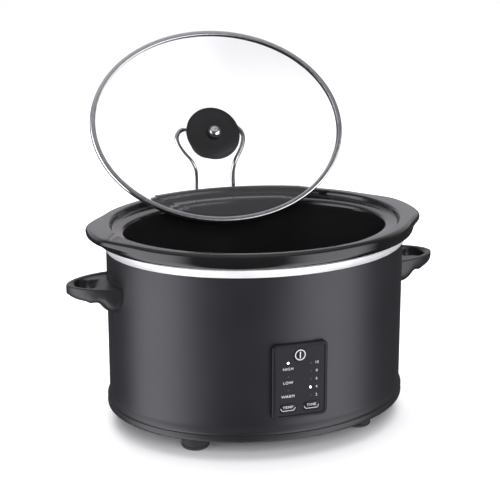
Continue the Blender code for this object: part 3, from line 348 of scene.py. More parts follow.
def turned(name, profile, kind, matrix=None, steps=72, closed=False):
    """A turned piece about its own Z axis from (radius, height) points, moved into place by a matrix."""
    bm = bmesh.new()
    rings = []
    for radius, height in profile:
        if radius < 1e-6:
            rings.append([bm.verts.new((0.0, 0.0, height * MM))])
        else:
            rings.append([bm.verts.new((x, y, height * MM))
                          for x, y in ellipse(0, 0, radius * MM, radius * MM, steps)])
    for upper, lower in zip(rings, rings[1:] + rings[:1] if closed else rings[1:]):
        for i in range(steps):
            j = (i + 1) % steps
            corners = (upper[i % len(upper)], upper[j % len(upper)],
                       lower[j % len(lower)], lower[i % len(lower)])
            distinct = list(dict.fromkeys(corners))       # a ring on the axis is one corner
            if len(distinct) > 2:
                bm.faces.new(distinct)
    return finish_mesh(name, bm, kind, matrix)


def at(x, y, z, turn=None):
    """Matrix for a place in millimetres, optionally turned first."""
    moved = Matrix.Translation(Vector((x, y, z)) * MM)
    return moved @ turn if turn is not None else moved


def prism(name, outline, low, high, kind=None, matrix=None):
    """An upright prism on a closed outline in XY."""
    bm = bmesh.new()
    bottom = [bm.verts.new((x * MM, y * MM, low * MM)) for x, y in outline]
    top = [bm.verts.new((x * MM, y * MM, high * MM)) for x, y in outline]
    bm.faces.new(list(reversed(bottom)))
    bm.faces.new(top)
    for i in range(len(outline)):
        j = (i + 1) % len(outline)
        bm.faces.new((bottom[i], bottom[j], top[j], top[i]))
    return finish_mesh(name, bm, kind, matrix)


def evaluated_mesh(obj):
    """A new mesh of an object as its modifiers or its curve's thickness leave it."""
    bpy.context.view_layer.update()
    graph = bpy.context.evaluated_depsgraph_get()
    return bpy.data.meshes.new_from_object(obj.evaluated_get(graph))


def curve_mesh(name, curve):
    """The mesh of a thick curve or of a text."""
    obj = link(bpy.data.objects.new(name, curve))
    mesh = evaluated_mesh(obj)
    bpy.data.objects.remove(obj, do_unlink=True)
    return mesh


def apply_modifiers(obj):
    """Leaves the evaluated mesh in place of the modifiers."""
    mesh = evaluated_mesh(obj)
    obj.modifiers.clear()
    old = obj.data
    obj.data = mesh
    bpy.data.meshes.remove(old)


def shade(obj, sharp=50.0):
    obj.data.shade_smooth()
    obj.data.set_sharp_from_angle(angle=math.radians(sharp))


def combine(obj, tool, operation="DIFFERENCE"):
    """Boolean with a tool that is used up."""
    step = obj.modifiers.new("combine", "BOOLEAN")
    step.operation = operation
    step.solver = "EXACT"
    step.object = tool
    apply_modifiers(obj)
    bpy.data.objects.remove(tool, do_unlink=True)


def soften(obj, voxel, rounds):
    """Melts a moulded piece's edges: an even remesh, then smoothing."""
    remesh = obj.modifiers.new("remesh", "REMESH")
    remesh.mode = "VOXEL"
    remesh.voxel_size = voxel * MM
    remesh.use_smooth_shade = True
    smooth = obj.modifiers.new("smooth", "SMOOTH")
    smooth.factor = 0.5
    smooth.iterations = rounds
    apply_modifiers(obj)
    obj.data.shade_smooth()


def bevelled(obj, width, segments=3):
    step = obj.modifiers.new("bevel", "BEVEL")
    step.width = width * MM
    step.segments = segments
    step.limit_method = "ANGLE"
    step.angle_limit = math.radians(35.0)
    step.harden_normals = False
    apply_modifiers(obj)
    shade(obj)


def paint(obj, kind):
    obj.data.materials.clear()
    obj.data.materials.append(MATERIAL[kind])


def settle(obj, body, slot, *nodes):
    """Declares a finished piece: the body it rides and the CAD nodes it stands for, which it hides. The slot
    argument is not used.
    """
    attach(obj, body)
    if nodes:
        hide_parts(*nodes)
    return obj


def rounded_rectangle(half_width, half_height, radius, steps=8):
    points = []
    for corner, (sx, sy) in enumerate(((1, 1), (-1, 1), (-1, -1), (1, -1))):
        cx = sx * (half_width - radius)
        cy = sy * (half_height - radius)
        for i in range(steps + 1):
            angle = math.radians(90 * corner + 90 * i / steps)
            points.append((cx + radius * math.cos(angle), cy + radius * math.sin(angle)))
    return points


def seat_tool():
    """The housing's outside, widened by the gap that pieces mounted on it keep."""
    return prism("seat", ellipse(0, MIDDLE, BODY[0] + SEAT_GAP, BODY[1] + SEAT_GAP, ROUND), 0, 300)


# ---------------------------------------------------------------- camera, floor and light

LOOK = Vector((0.31536, 0.90765, -0.27700))
CAMERA_PLACE = Vector((-423.7, MIDDLE - 1219.4, 536.5))
PIXEL_FOCAL = 1405.0
FRAME_PIXELS = 500.0
SENSOR = 36.0
LENS_SHIFT = -0.0114

FLOOR_REACH = 14.0
FLOOR_DROP = 0.0003      # keeps the floor out of the feet's undersides
MIX_A, MIX_B = 6, 7      # the colour inputs of a colour mix

LEFT_BEARING, SCREEN_LEFT = 187.0, 3.3
RIGHT_BEARING, SCREEN_RIGHT = -48.0, 2.9
BACK_BEARING, SCREEN_BACK = 74.0, 0.75
CEILING = 0.4
ROOM = 0.17


def make_camera():
    data = bpy.data.cameras.new("camera")
    data.sensor_width = SENSOR
    data.lens = PIXEL_FOCAL * SENSOR / FRAME_PIXELS
    data.shift_x = LENS_SHIFT
    data.clip_start = 0.05
    data.clip_end = 60.0
    camera = link(bpy.data.objects.new("camera", data))
    camera.location = CAMERA_PLACE * MM
    camera.rotation_euler = LOOK.to_track_quat("-Z", "Y").to_euler()
    bpy.context.scene.camera = camera


def soft_light(name, place, width, height, power):
    """A broad lamp over the object that lights it without showing as a patch in its polished faces."""
    data = bpy.data.lights.new(name, "AREA")
    data.shape = "RECTANGLE"
    data.size = width
    data.size_y = height
    data.energy = power
    light = link(bpy.data.objects.new(name, data))
    light.location = place
    light.rotation_euler = (Vector((0, 0, 0.12)) - Vector(place)).to_track_quat("-Z", "Y").to_euler()
    light.visible_glossy = False
    light.visible_transmission = False


def calculate(tree, operation, first, second):
    """Two grey signals in one, of which the second may be a plain number."""
    node = add(tree, "ShaderNodeMath", operation=operation)
    tree.links.new(first, node.inputs[0])
    if isinstance(second, float):
        node.inputs[1].default_value = second
    else:
        tree.links.new(second, node.inputs[1])
    return node.outputs["Value"]


def product(tree, first, *others):
    for other in others:
        first = calculate(tree, "MULTIPLY", first, other)
    return first


def straight_view(tree):
    """1 for a ray straight from the eye or through the glass, and 0 for one that lights the object."""
    path = add(tree, "ShaderNodeLightPath").outputs
    either = calculate(tree, "MAXIMUM", path["Is Camera Ray"], path["Is Transmission Ray"])
    return product(tree, either, calculate(tree, "LESS_THAN", path["Glossy Depth"], 0.5))


def make_studio():
    made, tree, shader = new_material("studio_floor")
    drift = grain(tree, 0.6)
    pale = ramp(tree, drift, (0.80, 0.80, 0.805), (0.82, 0.82, 0.825))
    mix = add(tree, "ShaderNodeMix", data_type="RGBA", Factor=straight_view(tree))
    mix.inputs[MIX_A].default_value = (0.30, 0.30, 0.305, 1.0)
    tree.links.new(pale, mix.inputs[MIX_B])
    feed(tree, shader, Base_Color=mix.outputs[2], Roughness=0.8, Specular_IOR_Level=0.05)
    mesh = bpy.data.meshes.new("floor")
    corners = [(x * FLOOR_REACH, y * FLOOR_REACH, -FLOOR_DROP) for x, y in ((-1, -1), (1, -1), (1, 1), (-1, 1))]
    mesh.from_pydata(corners, [], [(0, 1, 2, 3)])
    mesh.materials.append(made)
    floor = link(bpy.data.objects.new("floor", mesh))
    floor.visible_glossy = False
    make_world()
    soft_light("front_lamp", (-0.5, -1.9, 1.15), 1.2, 1.0, 34.0)
    soft_light("overhead_lamp", (0.1, 0.6, 1.6), 1.5, 1.2, 22.0)
    sun = bpy.data.lights.new("ceiling", "SUN")
    sun.energy = 2.1
    sun.angle = math.radians(70)
    ceiling = link(bpy.data.objects.new("ceiling", sun))
    ceiling.visible_glossy = False
    ceiling.visible_transmission = False


def between(tree, signal, start, end):
    """A smooth rise from 0 to 1 while the signal goes from start to end; a fall when start is above end."""
    return add(tree, "ShaderNodeMapRange", interpolation_type="SMOOTHSTEP", Value=signal, From_Min=start,
               From_Max=end).outputs["Result"]


def facing(tree, level, bearing, core, edge):
    """1 toward a compass bearing in degrees, fading to 0 between two angles away from it."""
    dot = add(tree, "ShaderNodeVectorMath", operation="DOT_PRODUCT")
    tree.links.new(level, dot.inputs[0])
    angle = math.radians(bearing)
    dot.inputs[1].default_value = (math.cos(angle), math.sin(angle), 0.0)
    return between(tree, dot.outputs["Value"], math.cos(math.radians(edge)), math.cos(math.radians(core)))


def make_world():
    """A dim room with two tall pale screens and a bright band behind, in front of a plain white backdrop."""
    world = bpy.data.worlds.new("studio")
    world.use_nodes = True
    world.cycles.sampling_method = "NONE"
    tree = world.node_tree
    room = tree.nodes["Background"]
    backdrop = add(tree, "ShaderNodeBackground", Color=(1.0, 1.0, 1.0, 1.0))
    direction = add(tree, "ShaderNodeTexCoord").outputs["Generated"]
    split = add(tree, "ShaderNodeSeparateXYZ", Vector=direction)
    flat = add(tree, "ShaderNodeCombineXYZ", X=split.outputs["X"], Y=split.outputs["Y"])
    level = add(tree, "ShaderNodeVectorMath", operation="NORMALIZE")
    tree.links.new(flat.outputs["Vector"], level.inputs[0])
    level = level.outputs["Vector"]
    height = split.outputs["Z"]
    low_only = between(tree, height, 0.62, 0.35)
    left = product(tree, facing(tree, level, LEFT_BEARING, 8.0, 38.0), low_only, SCREEN_LEFT)
    right = product(tree, facing(tree, level, RIGHT_BEARING, 6.0, 34.0), low_only, SCREEN_RIGHT)
    back = product(tree, facing(tree, level, BACK_BEARING, 30.0, 80.0), between(tree, height, 0.0, 0.16),
                   between(tree, height, 0.8, 0.5), SCREEN_BACK)
    above = product(tree, between(tree, height, 0.66, 0.9), CEILING)
    total = product(tree, between(tree, height, -4.0, 4.0), ROOM)
    for part in (left, right, back, above):
        total = calculate(tree, "ADD", total, part)
    feed(tree, room, Color=(1.0, 0.975, 1.035, 1.0), Strength=total)
    mix = add(tree, "ShaderNodeMixShader", Fac=straight_view(tree))
    tree.links.new(room.outputs["Background"], mix.inputs[1])
    tree.links.new(backdrop.outputs["Background"], mix.inputs[2])
    tree.links.new(mix.outputs["Shader"], tree.nodes["World Output"].inputs["Surface"])
    bpy.context.scene.world = world
    bpy.context.scene.view_settings.view_transform = "Standard"


# ---------------------------------------------------------------- housing

def make_shell():
    top = SHELL_HIGH.z
    low = SHELL_LOW.z
    outside = [(0.0, top), (0.0, low + 8.0), (0.72 * BEAD, low + 4.6), (BEAD, low + 2.4), (0.7 * BEAD, low)]
    inside = [(-0.8, low + 8.0), (-0.8, top)]
    sections = [oval(BODY, offset, height) for offset, height in rounded(outside, 2.2) + inside]
    shell = skin("shell_skin", sections, "shell", closed=True)
    outline = rounded_rectangle(BEZEL_HIGH.x - WINDOW_MARGIN, BEZEL_HIGH.z - PANEL_CENTRE - WINDOW_MARGIN, 2.0)
    combine(shell, prism("window", outline, -30.0, 10.0, None, at(0, BEZEL_LOW.y, PANEL_CENTRE, UPRIGHT)))
    shade(shell, SHARP)
    paint(shell, "shell")
    settle(shell, "base", "shell_paint", "body_shell")


VENT_RADIUS = 1.5
VENT_HALF_LENGTH = 12.5


def vent_outline(x):
    """A round-ended slot along Y."""
    points = []
    for k in range(16):
        t = 2 * math.pi * k / 16 + 0.01
        end = math.copysign(VENT_HALF_LENGTH, math.sin(t))
        points.append((x + VENT_RADIUS * math.cos(t), MIDDLE + end + VENT_RADIUS * math.sin(t)))
    return points


def make_base_pan():
    top = SHELL_LOW.z - 0.3
    low = PAN_LOW.z
    under = low + 2.3
    outline = [(-9.0, under), (-8.2, low + 0.1), (-7.6, low), (0.6, low), (BEAD - 0.3, low + 1.4),
               (BEAD, low + 3.8), (BEAD - 0.3, top - 0.9), (0.7 * BEAD, top), (-1.3, top), (-1.3, top + 5.0),
               (-3.1, top + 5.0), (-3.1, under + 2.8)]
    pan = skin("base_pan_skin", [oval(BODY, offset, height) for offset, height in rounded(outline, 0.7, 3)],
               "plastic")
    for x in (-48, -36, -24, 24, 36, 48):
        combine(pan, prism("vent", vent_outline(x), low - 5, under + 6))
    settle(pan, "base", "black_plastic", "base_pan")
    for index, radius in enumerate((34.0, 64.0)):
        profile = [(0.8, 0.3), (0.8, -0.5), (0.4, -0.8), (-0.4, -0.8), (-0.8, -0.5), (-0.8, 0.3)]
        ring = turned(f"base_rib_{index}", [(radius + out, under + up) for out, up in profile], "plastic",
                      at(0, MIDDLE, 0), closed=True, steps=120)
        settle(ring, "base", "black_plastic")


def cross_recess(obj, matrix, arm, depth, width):
    """Cuts a cross-shaped driver recess into a screw head whose top is at the matrix's origin, facing +Z."""
    for turn in (0.0, 90.0):
        cut = prism("recess", [(-arm, -width / 2), (arm, -width / 2), (arm, width / 2), (-arm, width / 2)],
                    -depth, 2.0, None, matrix @ Matrix.Rotation(math.radians(turn), 4, "Z"))
        combine(obj, cut)


def make_feet():
    radius = 13.0
    for place in ("front_left", "rear_left", "front_right", "rear_right"):
        centre = node_centre("foot_" + place)
        top = node_box("foot_" + place)[1].z
        where = at(centre.x, centre.y, 0)
        profile = [(2.3, top), (radius + 1.2, top), (radius + 1.0, top - 3.0), (radius + 0.1, 6.0),
                   (radius, 4.4), (radius - 0.7, 4.0), (radius - 0.7, 3.4), (radius, 3.0), (radius - 0.2, 1.4),
                   (radius - 1.6, 0.0), (9.4, 0.0), (9.0, 0.5), (8.2, 0.5), (7.8, 0.0), (5.6, 0.0), (5.2, 9.0),
                   (2.3, 9.0)]
        foot = turned("foot_pad_" + place, rounded(profile, 0.6, 3, closed=True), "rubber", where, closed=True)
        settle(foot, "base", "rubber_feet", "foot_" + place)
        low, high = node_box("foot_screw_" + place)
        profile = [(0.0, high.z), (1.9, high.z), (1.9, low.z + 2.6), (4.4, low.z + 2.6), (4.4, low.z + 1.4),
                   (2.6, low.z), (0.0, low.z)]
        screw = turned("foot_screw_head_" + place, rounded(profile, 0.4, 3), "screw", where, steps=40)
        cross_recess(screw, at(centre.x, centre.y, low.z, UPSIDE_DOWN), 1.7, 1.2, 0.7)
        settle(screw, "base", "screw_steel", "foot_screw_" + place)


def make_trim():
    top = TRIM_HIGH.z
    low = SHELL_HIGH.z + 0.3
    flare = TRIM_HIGH.x - BODY[0]
    seat = top - 4.1
    outline = [(0.4, low), (0.30 * flare, low + 1.4), (0.58 * flare, low + 3.0), (0.85 * flare, low + 5.6),
               (flare, top - 0.9), (flare - 0.3, top - 0.2), (flare - 0.9, top), (0.5 * flare, top),
               (0.2 * flare, seat), (-5.0, seat), (-5.0, seat - 1.0), (-2.1, seat - 1.0), (-2.1, low - 5.0),
               (-1.1, low - 5.0), (-1.1, low)]
    points = rounded(outline, 0.8, 3, closed=True)
    settle(skin("trim_ring", [oval(BODY, offset, height) for offset, height in points], "trim", closed=True),
           "base", "trim_steel", "trim_band")


def taper(height):
    depth = (MOUTH - height) / (MOUTH - CAVITY_FLOOR)
    return 11.0 * min(1.0, max(0.0, depth)) ** 1.4


def corner(height, floor, radius):
    below = max(0.0, floor + radius - height) / radius
    return radius * (1 - math.sqrt(max(0.0, 1 - below * below)))


def wall(grow, floor, radius, top):
    """Sections up a tapering wall from its rounded foot."""
    heights = [floor + radius * (1 - math.cos(math.radians(90 * k / 9))) for k in range(10)]
    heights += [heights[-1] + (top - heights[-1]) * k / 8 for k in range(1, 9)]
    return [oval(CAVITY, grow - taper(z) - corner(z, floor, radius), z) for z in heights]


def make_liner():
    floor = LINER_LOW.z + 1.0
    flange = LINER_HIGH.z
    grow = CROCK_WALL + 2.5
    lower = wall(grow + 1.0, floor - 1.0, 9.0, flange - 5.0)
    upper = wall(grow, floor, 9.0, flange - 4.0)
    sections = lower + [oval(CAVITY, grow + 1.2, flange - 1.0), oval(BODY, -0.4, flange - 1.0),
                        oval(BODY, -0.4, flange), oval(CAVITY, grow + 0.8, flange)]
    sections += list(reversed(upper))
    settle(skin("liner_pan", sections, "liner"), "base", "liner_aluminium", "heating_liner")


# ---------------------------------------------------------------- crock

def make_crock():
    low_rim = RIM_TOP - 14.1
    ear_low = RIM_TOP - EAR_THICKNESS
    outer = wall(CROCK_WALL, CROCK_LOW.z, 9.0, low_rim - 6)
    rim = [oval(CAVITY, CROCK_WALL + 1.0, low_rim), oval(RIM, -4.0, low_rim), oval(RIM, -1.0, low_rim + 1.6),
           oval(RIM, 0.0, low_rim + 4.6), oval(RIM, 0.0, ear_low - 0.4), oval(RIM, -0.1, ear_low + 0.3, 0.75),
           oval(RIM, -0.1, ear_low + 2.0, 1.0), oval(RIM, -0.5, RIM_TOP - 3.0, 1.0),
           oval(RIM, -1.5, RIM_TOP - 1.3, 1.0), oval(RIM, -3.4, RIM_TOP - 0.1, 1.0),
           oval(RIM, -5.0, RIM_TOP, 1.0), oval(RECESS, 2.4, RIM_TOP), oval(RECESS, 0.9, RIM_TOP - 0.3),
           oval(RECESS, -0.2, RIM_TOP - 1.6), oval(RECESS, -1.2, RIM_TOP - 4.4),
           oval(RECESS, -2.0, RIM_TOP - 5.6), oval(RECESS, -3.4, RIM_TOP - 6.2),
           oval(CAVITY, 2.4, MOUTH + 1.0), oval(CAVITY, 0.7, MOUTH + 0.2), oval(CAVITY, -0.2, MOUTH - 1.6)]
    inner = wall(0.0, CAVITY_FLOOR, 13.0, MOUTH - 6)
    sections = outer + rounded(rim, 1.6, 4) + list(reversed(inner))
    crock = skin("crock_glazed", sections, "glaze", sharp=60.0)
    settle(crock, "crock", "crock_glaze", "crock")


# ---------------------------------------------------------------- handles

HANDLE_ROOT = 8.5
HANDLE_CURVE = 1.75      # exponent of the round outline seen from above
HANDLE_SECTION = 3.0     # exponent of the rounded section
DISH_BORDER = 5.2
DISH_DEPTH = 1.3
SLOT = (9.5, 14.5)       # half axes of the finger slot
SLOT_BAR = 8.3           # what stands outside the slot
HANDLE_DEPTHS = ((0.0, 26.5), (0.1, 26.0), (0.2, 23.5), (0.3, 18.5), (0.39, 16.4), (0.46, 16.5),
                 (0.54, 17.2), (0.61, 15.8), (0.74, 14.0), (0.88, 11.6), (1.0, 8.5))


def handle_depth(share):
    """Depth below the handle's top at a share of its reach, the same as the CAD handle's."""
    if share <= 0:
        return HANDLE_DEPTHS[0][1]
    knots = [HANDLE_DEPTHS[0], *HANDLE_DEPTHS, HANDLE_DEPTHS[-1]]
    for i in range(1, len(knots) - 2):
        (start, p1), (end, p2) = knots[i], knots[i + 1]
        if share <= end:
            return passing(knots[i - 1][1], p1, p2, knots[i + 2][1], (share - start) / (end - start))
    return HANDLE_DEPTHS[-1][1]


def handle_outline(reach, half_width, angle):
    """A point of the handle's round outline, seen from above, as a distance out and a place along Y."""
    c = max(0.0, math.cos(angle)) ** (2 / HANDLE_CURVE)
    s = math.copysign(abs(math.sin(angle)) ** (2 / HANDLE_CURVE), math.sin(angle))
    return reach * c, half_width * s


def make_handle(side):
    word = "left" if side < 0 else "right"
    low, high = node_box("handle_" + word)
    top = high.z
    tip = abs(low.x if side < 0 else high.x)
    half_width = (high.y - low.y) / 2
    reach = tip - BODY[0]
    stations = 60
    around = 56
    whole = reach + HANDLE_ROOT
    outs = [-26.0, -15.0]
    outs += [whole * math.sin(math.pi / 2 * k / stations) - HANDLE_ROOT for k in range(stations + 1)]
    bm = bmesh.new()
    rings = []
    for out in outs:
        share = min(1.0, max(0.0, (out + HANDLE_ROOT) / whole))
        width = max(1.2, half_width * (1 - share ** HANDLE_CURVE) ** (1 / HANDLE_CURVE))
        depth = handle_depth(out / reach)
        ring = []
        for i in range(around + 1):
            angle = math.pi * (1 + i / around)
            y = math.copysign(width * abs(math.cos(angle)) ** (2 / HANDLE_SECTION), math.cos(angle))
            z = -depth * abs(math.sin(angle)) ** (2 / HANDLE_SECTION)
            ring.append(bm.verts.new(Vector((side * (BODY[0] + out), MIDDLE + y, top + z)) * MM))
        rings.append(ring)
    loft(bm, rings, closed=False)
    handle = finish_mesh("handle_grip_" + word, bm, "plastic")

    inside = side * (BODY[0] - 30)
    outline = [(inside, MIDDLE - half_width + DISH_BORDER)]
    for k in range(65):
        out, y = handle_outline(whole - DISH_BORDER, half_width - DISH_BORDER, math.pi * (k / 64 - 0.5))
        outline.append((side * (BODY[0] - HANDLE_ROOT + out), MIDDLE + y))
    outline.append((inside, MIDDLE + half_width - DISH_BORDER))
    if side < 0:
        outline.reverse()
    combine(handle, prism("dish", outline, top - DISH_DEPTH, top + 20))
    slot = ellipse(side * (tip - SLOT_BAR - SLOT[0]), MIDDLE, *SLOT, 64)
    combine(handle, prism("slot", slot, top - 60, top + 20))
    ramp_low = side * (tip - SLOT_BAR - 13.0)
    ramp_high = side * (BODY[0] + 7.0)
    wedge = [(ramp_high, top - DISH_DEPTH), (ramp_low, top - 9.0), (ramp_low, top + 4), (ramp_high, top + 4)]
    combine(handle, prism("ramp", wedge, -11.0, 11.0, None, at(0, MIDDLE, 0, UPRIGHT)))
    soften(handle, 0.6, 24)
    combine(handle, seat_tool())
    shade(handle)
    paint(handle, "plastic")
    settle(handle, "base", "black_plastic", "handle_" + word)


# ---------------------------------------------------------------- control panel

NUMERAL_SHIFT = 5.7      # from a time lamp to its number
WORD_DROP = 5.7          # from a temperature lamp to its word
KEY_MARGIN = 0.8
KEY_GAP = 0.28
LAMP_HOLE = 1.15
LIT = ("lamp_high", "lamp_4_hours")


def make_panel():
    half_width = BEZEL_HIGH.x
    half_height = BEZEL_HIGH.z - PANEL_CENTRE
    depth = BEZEL_HIGH.y - BEZEL_LOW.y
    border = half_width - (FACE_HIGH.x + 0.3)
    centre = at(0, BEZEL_LOW.y, PANEL_CENTRE, UPRIGHT)
    block = prism("panel_frame", rounded_rectangle(half_width, half_height, 5.0), -depth, 0, "plastic", centre)
    bevelled(block, 1.9, 5)
    opening = rounded_rectangle(half_width - border, half_height - border, 3.0)
    combine(block, prism("opening", opening, -depth - 5, 5, None, centre))
    bevelled(block, 0.45)
    combine(block, seat_tool())
    paint(block, "panel")
    settle(block, "base", "black_plastic", "control_bezel")

    outline = rounded_rectangle((FACE_HIGH.x - FACE_LOW.x) / 2, (FACE_HIGH.z - FACE_LOW.z) / 2, 2.6)
    face = prism("panel_front", outline, FACE_LOW.y - FACE_HIGH.y, 0, "panel",
                 at(0, FACE_FRONT, PANEL_CENTRE, UPRIGHT))
    for name in ("power_key", "temp_key", "time_key"):
        make_key(name, face)
    for name in sorted(name for name in NODES if name.startswith("lamp_")):
        make_lamp(name, face)
    paint(face, "panel")
    face.data.set_sharp_from_angle(angle=math.radians(40))
    settle(face, "base", "gloss_panel", "panel_face")
    print_settings()


def make_key(name, face):
    """One key's cap and print, and the hole that it leaves in the face."""
    low, high = node_box(name)
    middle = node_centre(name)
    half = ((high.x - low.x) / 2 - KEY_MARGIN, (high.z - low.z) / 2 - KEY_MARGIN)
    radius = half[0] if name == "power_key" else 2.0
    under = 1 - 1e-4         # keeps a full corner radius from folding the outline
    hole = rounded_rectangle(half[0] + KEY_GAP, half[1] + KEY_GAP, radius + KEY_GAP * under, 12)
    where = at(middle.x, FACE_FRONT, middle.z, UPRIGHT)
    combine(face, prism("key_hole", hole, -10, 10, None, where))
    outline = rounded_rectangle(*half, radius * under, 12)
    cap = prism(name + "_cap", outline, FACE_LOW.y - FACE_HIGH.y, 0.1, "panel", where)
    bevelled(cap, 0.3)
    paint(cap, "panel")
    body = name.replace("_key", "_button")
    settle(cap, body, "gloss_panel", name)
    print_key(name, body, middle.x, FACE_FRONT - 0.12, middle.z)


def make_lamp(name, face):
    """One small lamp's window, and its hole in the face."""
    middle = node_centre(name)
    where = at(middle.x, FACE_FRONT, middle.z, UPRIGHT)
    combine(face, prism("lamp_hole", ellipse(0, 0, LAMP_HOLE, LAMP_HOLE, 24), -10, 10, None, where))
    profile = rounded([(0.0, 0.12), (0.9, 0.05), (1.05, -0.2), (1.05, -6.0), (0.0, -6.0)], 0.2, 3)
    window = turned(name + "_window", profile, "lamp_on" if name in LIT else "lamp_off", where, steps=28)
    settle(window, "base", "lamp_window", name)


def stroke(name, outline, x, y, z):
    return prism(name, outline, 0, 0.06, "print", at(x, y, z, UPRIGHT))


def band_outline(points, width):
    """Outline of a line of even width along a few points."""
    left = []
    right = []
    for i, point in enumerate(points):
        before = Vector(points[max(i - 1, 0)])
        after = Vector(points[min(i + 1, len(points) - 1)])
        along = (after - before).normalized()
        across = Vector((-along.y, along.x)) * width / 2
        left.append(tuple(Vector(point) + across))
        right.append(tuple(Vector(point) - across))
    return left + list(reversed(right))


def lettering(name, words, x, y, z, height, body, stretch=1.0):
    """Plain printed characters, centred on a place on the panel."""
    curve = bpy.data.curves.new(name, "FONT")
    curve.body = words
    curve.align_x = "CENTER"
    curve.align_y = "CENTER"
    curve.size = height * 1.36 * MM
    curve.extrude = 0.03 * MM
    curve.offset = 0.004 * height * MM
    curve.space_character = 1.12
    curve.resolution_u = 4
    mesh = curve_mesh(name, curve)
    mesh.transform(at(x, y, z, UPRIGHT) @ Matrix.Diagonal((stretch, 1.0, 1.0, 1.0)))
    printed = place_new(name, mesh, "print")
    return settle(printed, body, "lamp_window")


def print_key(name, body, x, y, z):
    if name == "power_key":
        outer, inner = 5.05, 4.2
        ring = turned("power_mark_ring", [(outer, 0.06), (outer, 0.0), (inner, 0.0), (inner, 0.06)], "print",
                      at(x, y, z, UPRIGHT), closed=True)
        settle(ring, body, "lamp_window")
        bar = stroke("power_mark_bar", rounded_rectangle(0.48, 3.2, 0.25, 4), x, y, z)
        settle(bar, body, "lamp_window")
        return
    word = "TEMP" if name == "temp_key" else "TIME"
    lettering(word.lower() + "_label", word, x, y, z + 0.7, 2.5, body, 1.15)
    path = [(-7.0, 0.2), (-6.4, -1.2), (-5.2, -2.4), (5.2, -2.4), (6.4, -1.2), (7.0, 0.2)]
    settle(stroke(word.lower() + "_bracket", band_outline(path, 0.5), x, y, z), body, "lamp_window")


def print_settings():
    """Words under the temperature lamps and numbers beside the time lamps."""
    y = FACE_FRONT - 0.02
    for word in ("high", "low", "warm"):
        lamp = node_centre("lamp_" + word)
        lettering("setting_" + word, word.upper(), lamp.x, y, lamp.z - WORD_DROP, 2.6, "base", 1.1)
    for hours in (10, 8, 6, 4, 2):
        lamp = node_centre(f"lamp_{hours}_hours")
        lettering(f"hours_{hours}", str(hours), lamp.x + NUMERAL_SHIFT, y, lamp.z, 2.5, "base")


# ---------------------------------------------------------------- lid

LID_FRAME = at(*LID_CENTRE, Matrix.Rotation(-(math.pi / 2 + LID_LEAN), 4, "X"))
KNOB_FLANGE = (KNOB_HIGH.x - KNOB_LOW.x) / 2
KNOB_NECK = 11.5
KNOB_HEAD = 19.0
KNOB_NECK_LENGTH = 17.0
KNOB_HEAD_HEIGHT = 12.0


def lid_skin(name, sections, kind, sharp=SHARP):
    """Closed oval sections (half axis, half axis, height) in the lid's own frame."""
    bm = bmesh.new()
    rings = [[bm.verts.new((x, y, height * MM)) for x, y in ellipse(0, 0, a * MM, b * MM, ROUND)]
             for a, b, height in sections]
    loft(bm, rings, closed=True)
    return finish_mesh(name, bm, kind, LID_FRAME, sharp)


def dome(share):
    """One section of the glass's outer face, from the flat under the knob (0) to its foot (1)."""
    foot = (LID[0] - 9.0, LID[1] - 9.0)
    return (DOME_SEAT + (foot[0] - DOME_SEAT) * share, DOME_SEAT + (foot[1] - DOME_SEAT) * share,
            DOME_EDGE + (DOME_HEIGHT - DOME_EDGE) * (1 - share ** 2.3))


def make_lid_glass():
    """Outer face of even sections from rim to screw hole, and an inner face the glass's thickness away."""
    half = GLASS / 2
    bore = 3.5
    outer = [(LID[0] - 0.9, LID[1] - 0.9, half), (LID[0] - 3.5, LID[1] - 3.5, half),
             (LID[0] - 6.0, LID[1] - 6.0, half + 0.35)]
    steps = 40
    outer += [dome(1 - k / steps) for k in range(1, steps + 1)]
    outer += [(7.5, 7.5, DOME_HEIGHT), (bore, bore, DOME_HEIGHT)]
    inner = []
    for i, (a, b, height) in enumerate(outer):
        before = outer[max(i - 1, 0)]
        after = outer[min(i + 1, len(outer) - 1)]
        run = math.hypot(after[0] - before[0], after[2] - before[2])
        inward = (after[2] - before[2]) / run
        down = (before[0] - after[0]) / run
        inner.append((max(bore, a - GLASS * inward), max(bore, b - GLASS * inward), height - GLASS * down))
    glass = lid_skin("lid_glass_dome", outer + list(reversed(inner)), "glass", sharp=60.0)
    settle(glass, "lid", "lid_glass", "lid_glass")


def make_lid_rim():
    half = 2.9
    gap = GLASS / 2 + 0.25
    channel = [(-1.2, half), (-0.3, half - 0.7), (0.0, half - 1.8), (0.0, 1.8 - half), (-0.3, 0.7 - half),
               (-1.2, -half), (-4.4, -half), (-5.0, -half + 0.25), (-5.0, -gap), (-0.7, -gap), (-0.7, gap),
               (-5.0, gap), (-5.0, half - 0.25), (-4.4, half)]
    channel = rounded(channel, 0.5, 3, closed=True)
    sections = [(LID[0] + offset, LID[1] + offset, height) for offset, height in channel]
    settle(lid_skin("lid_rim_channel", sections, "lid_rim"), "lid", "lid_rim_steel", "lid_rim")


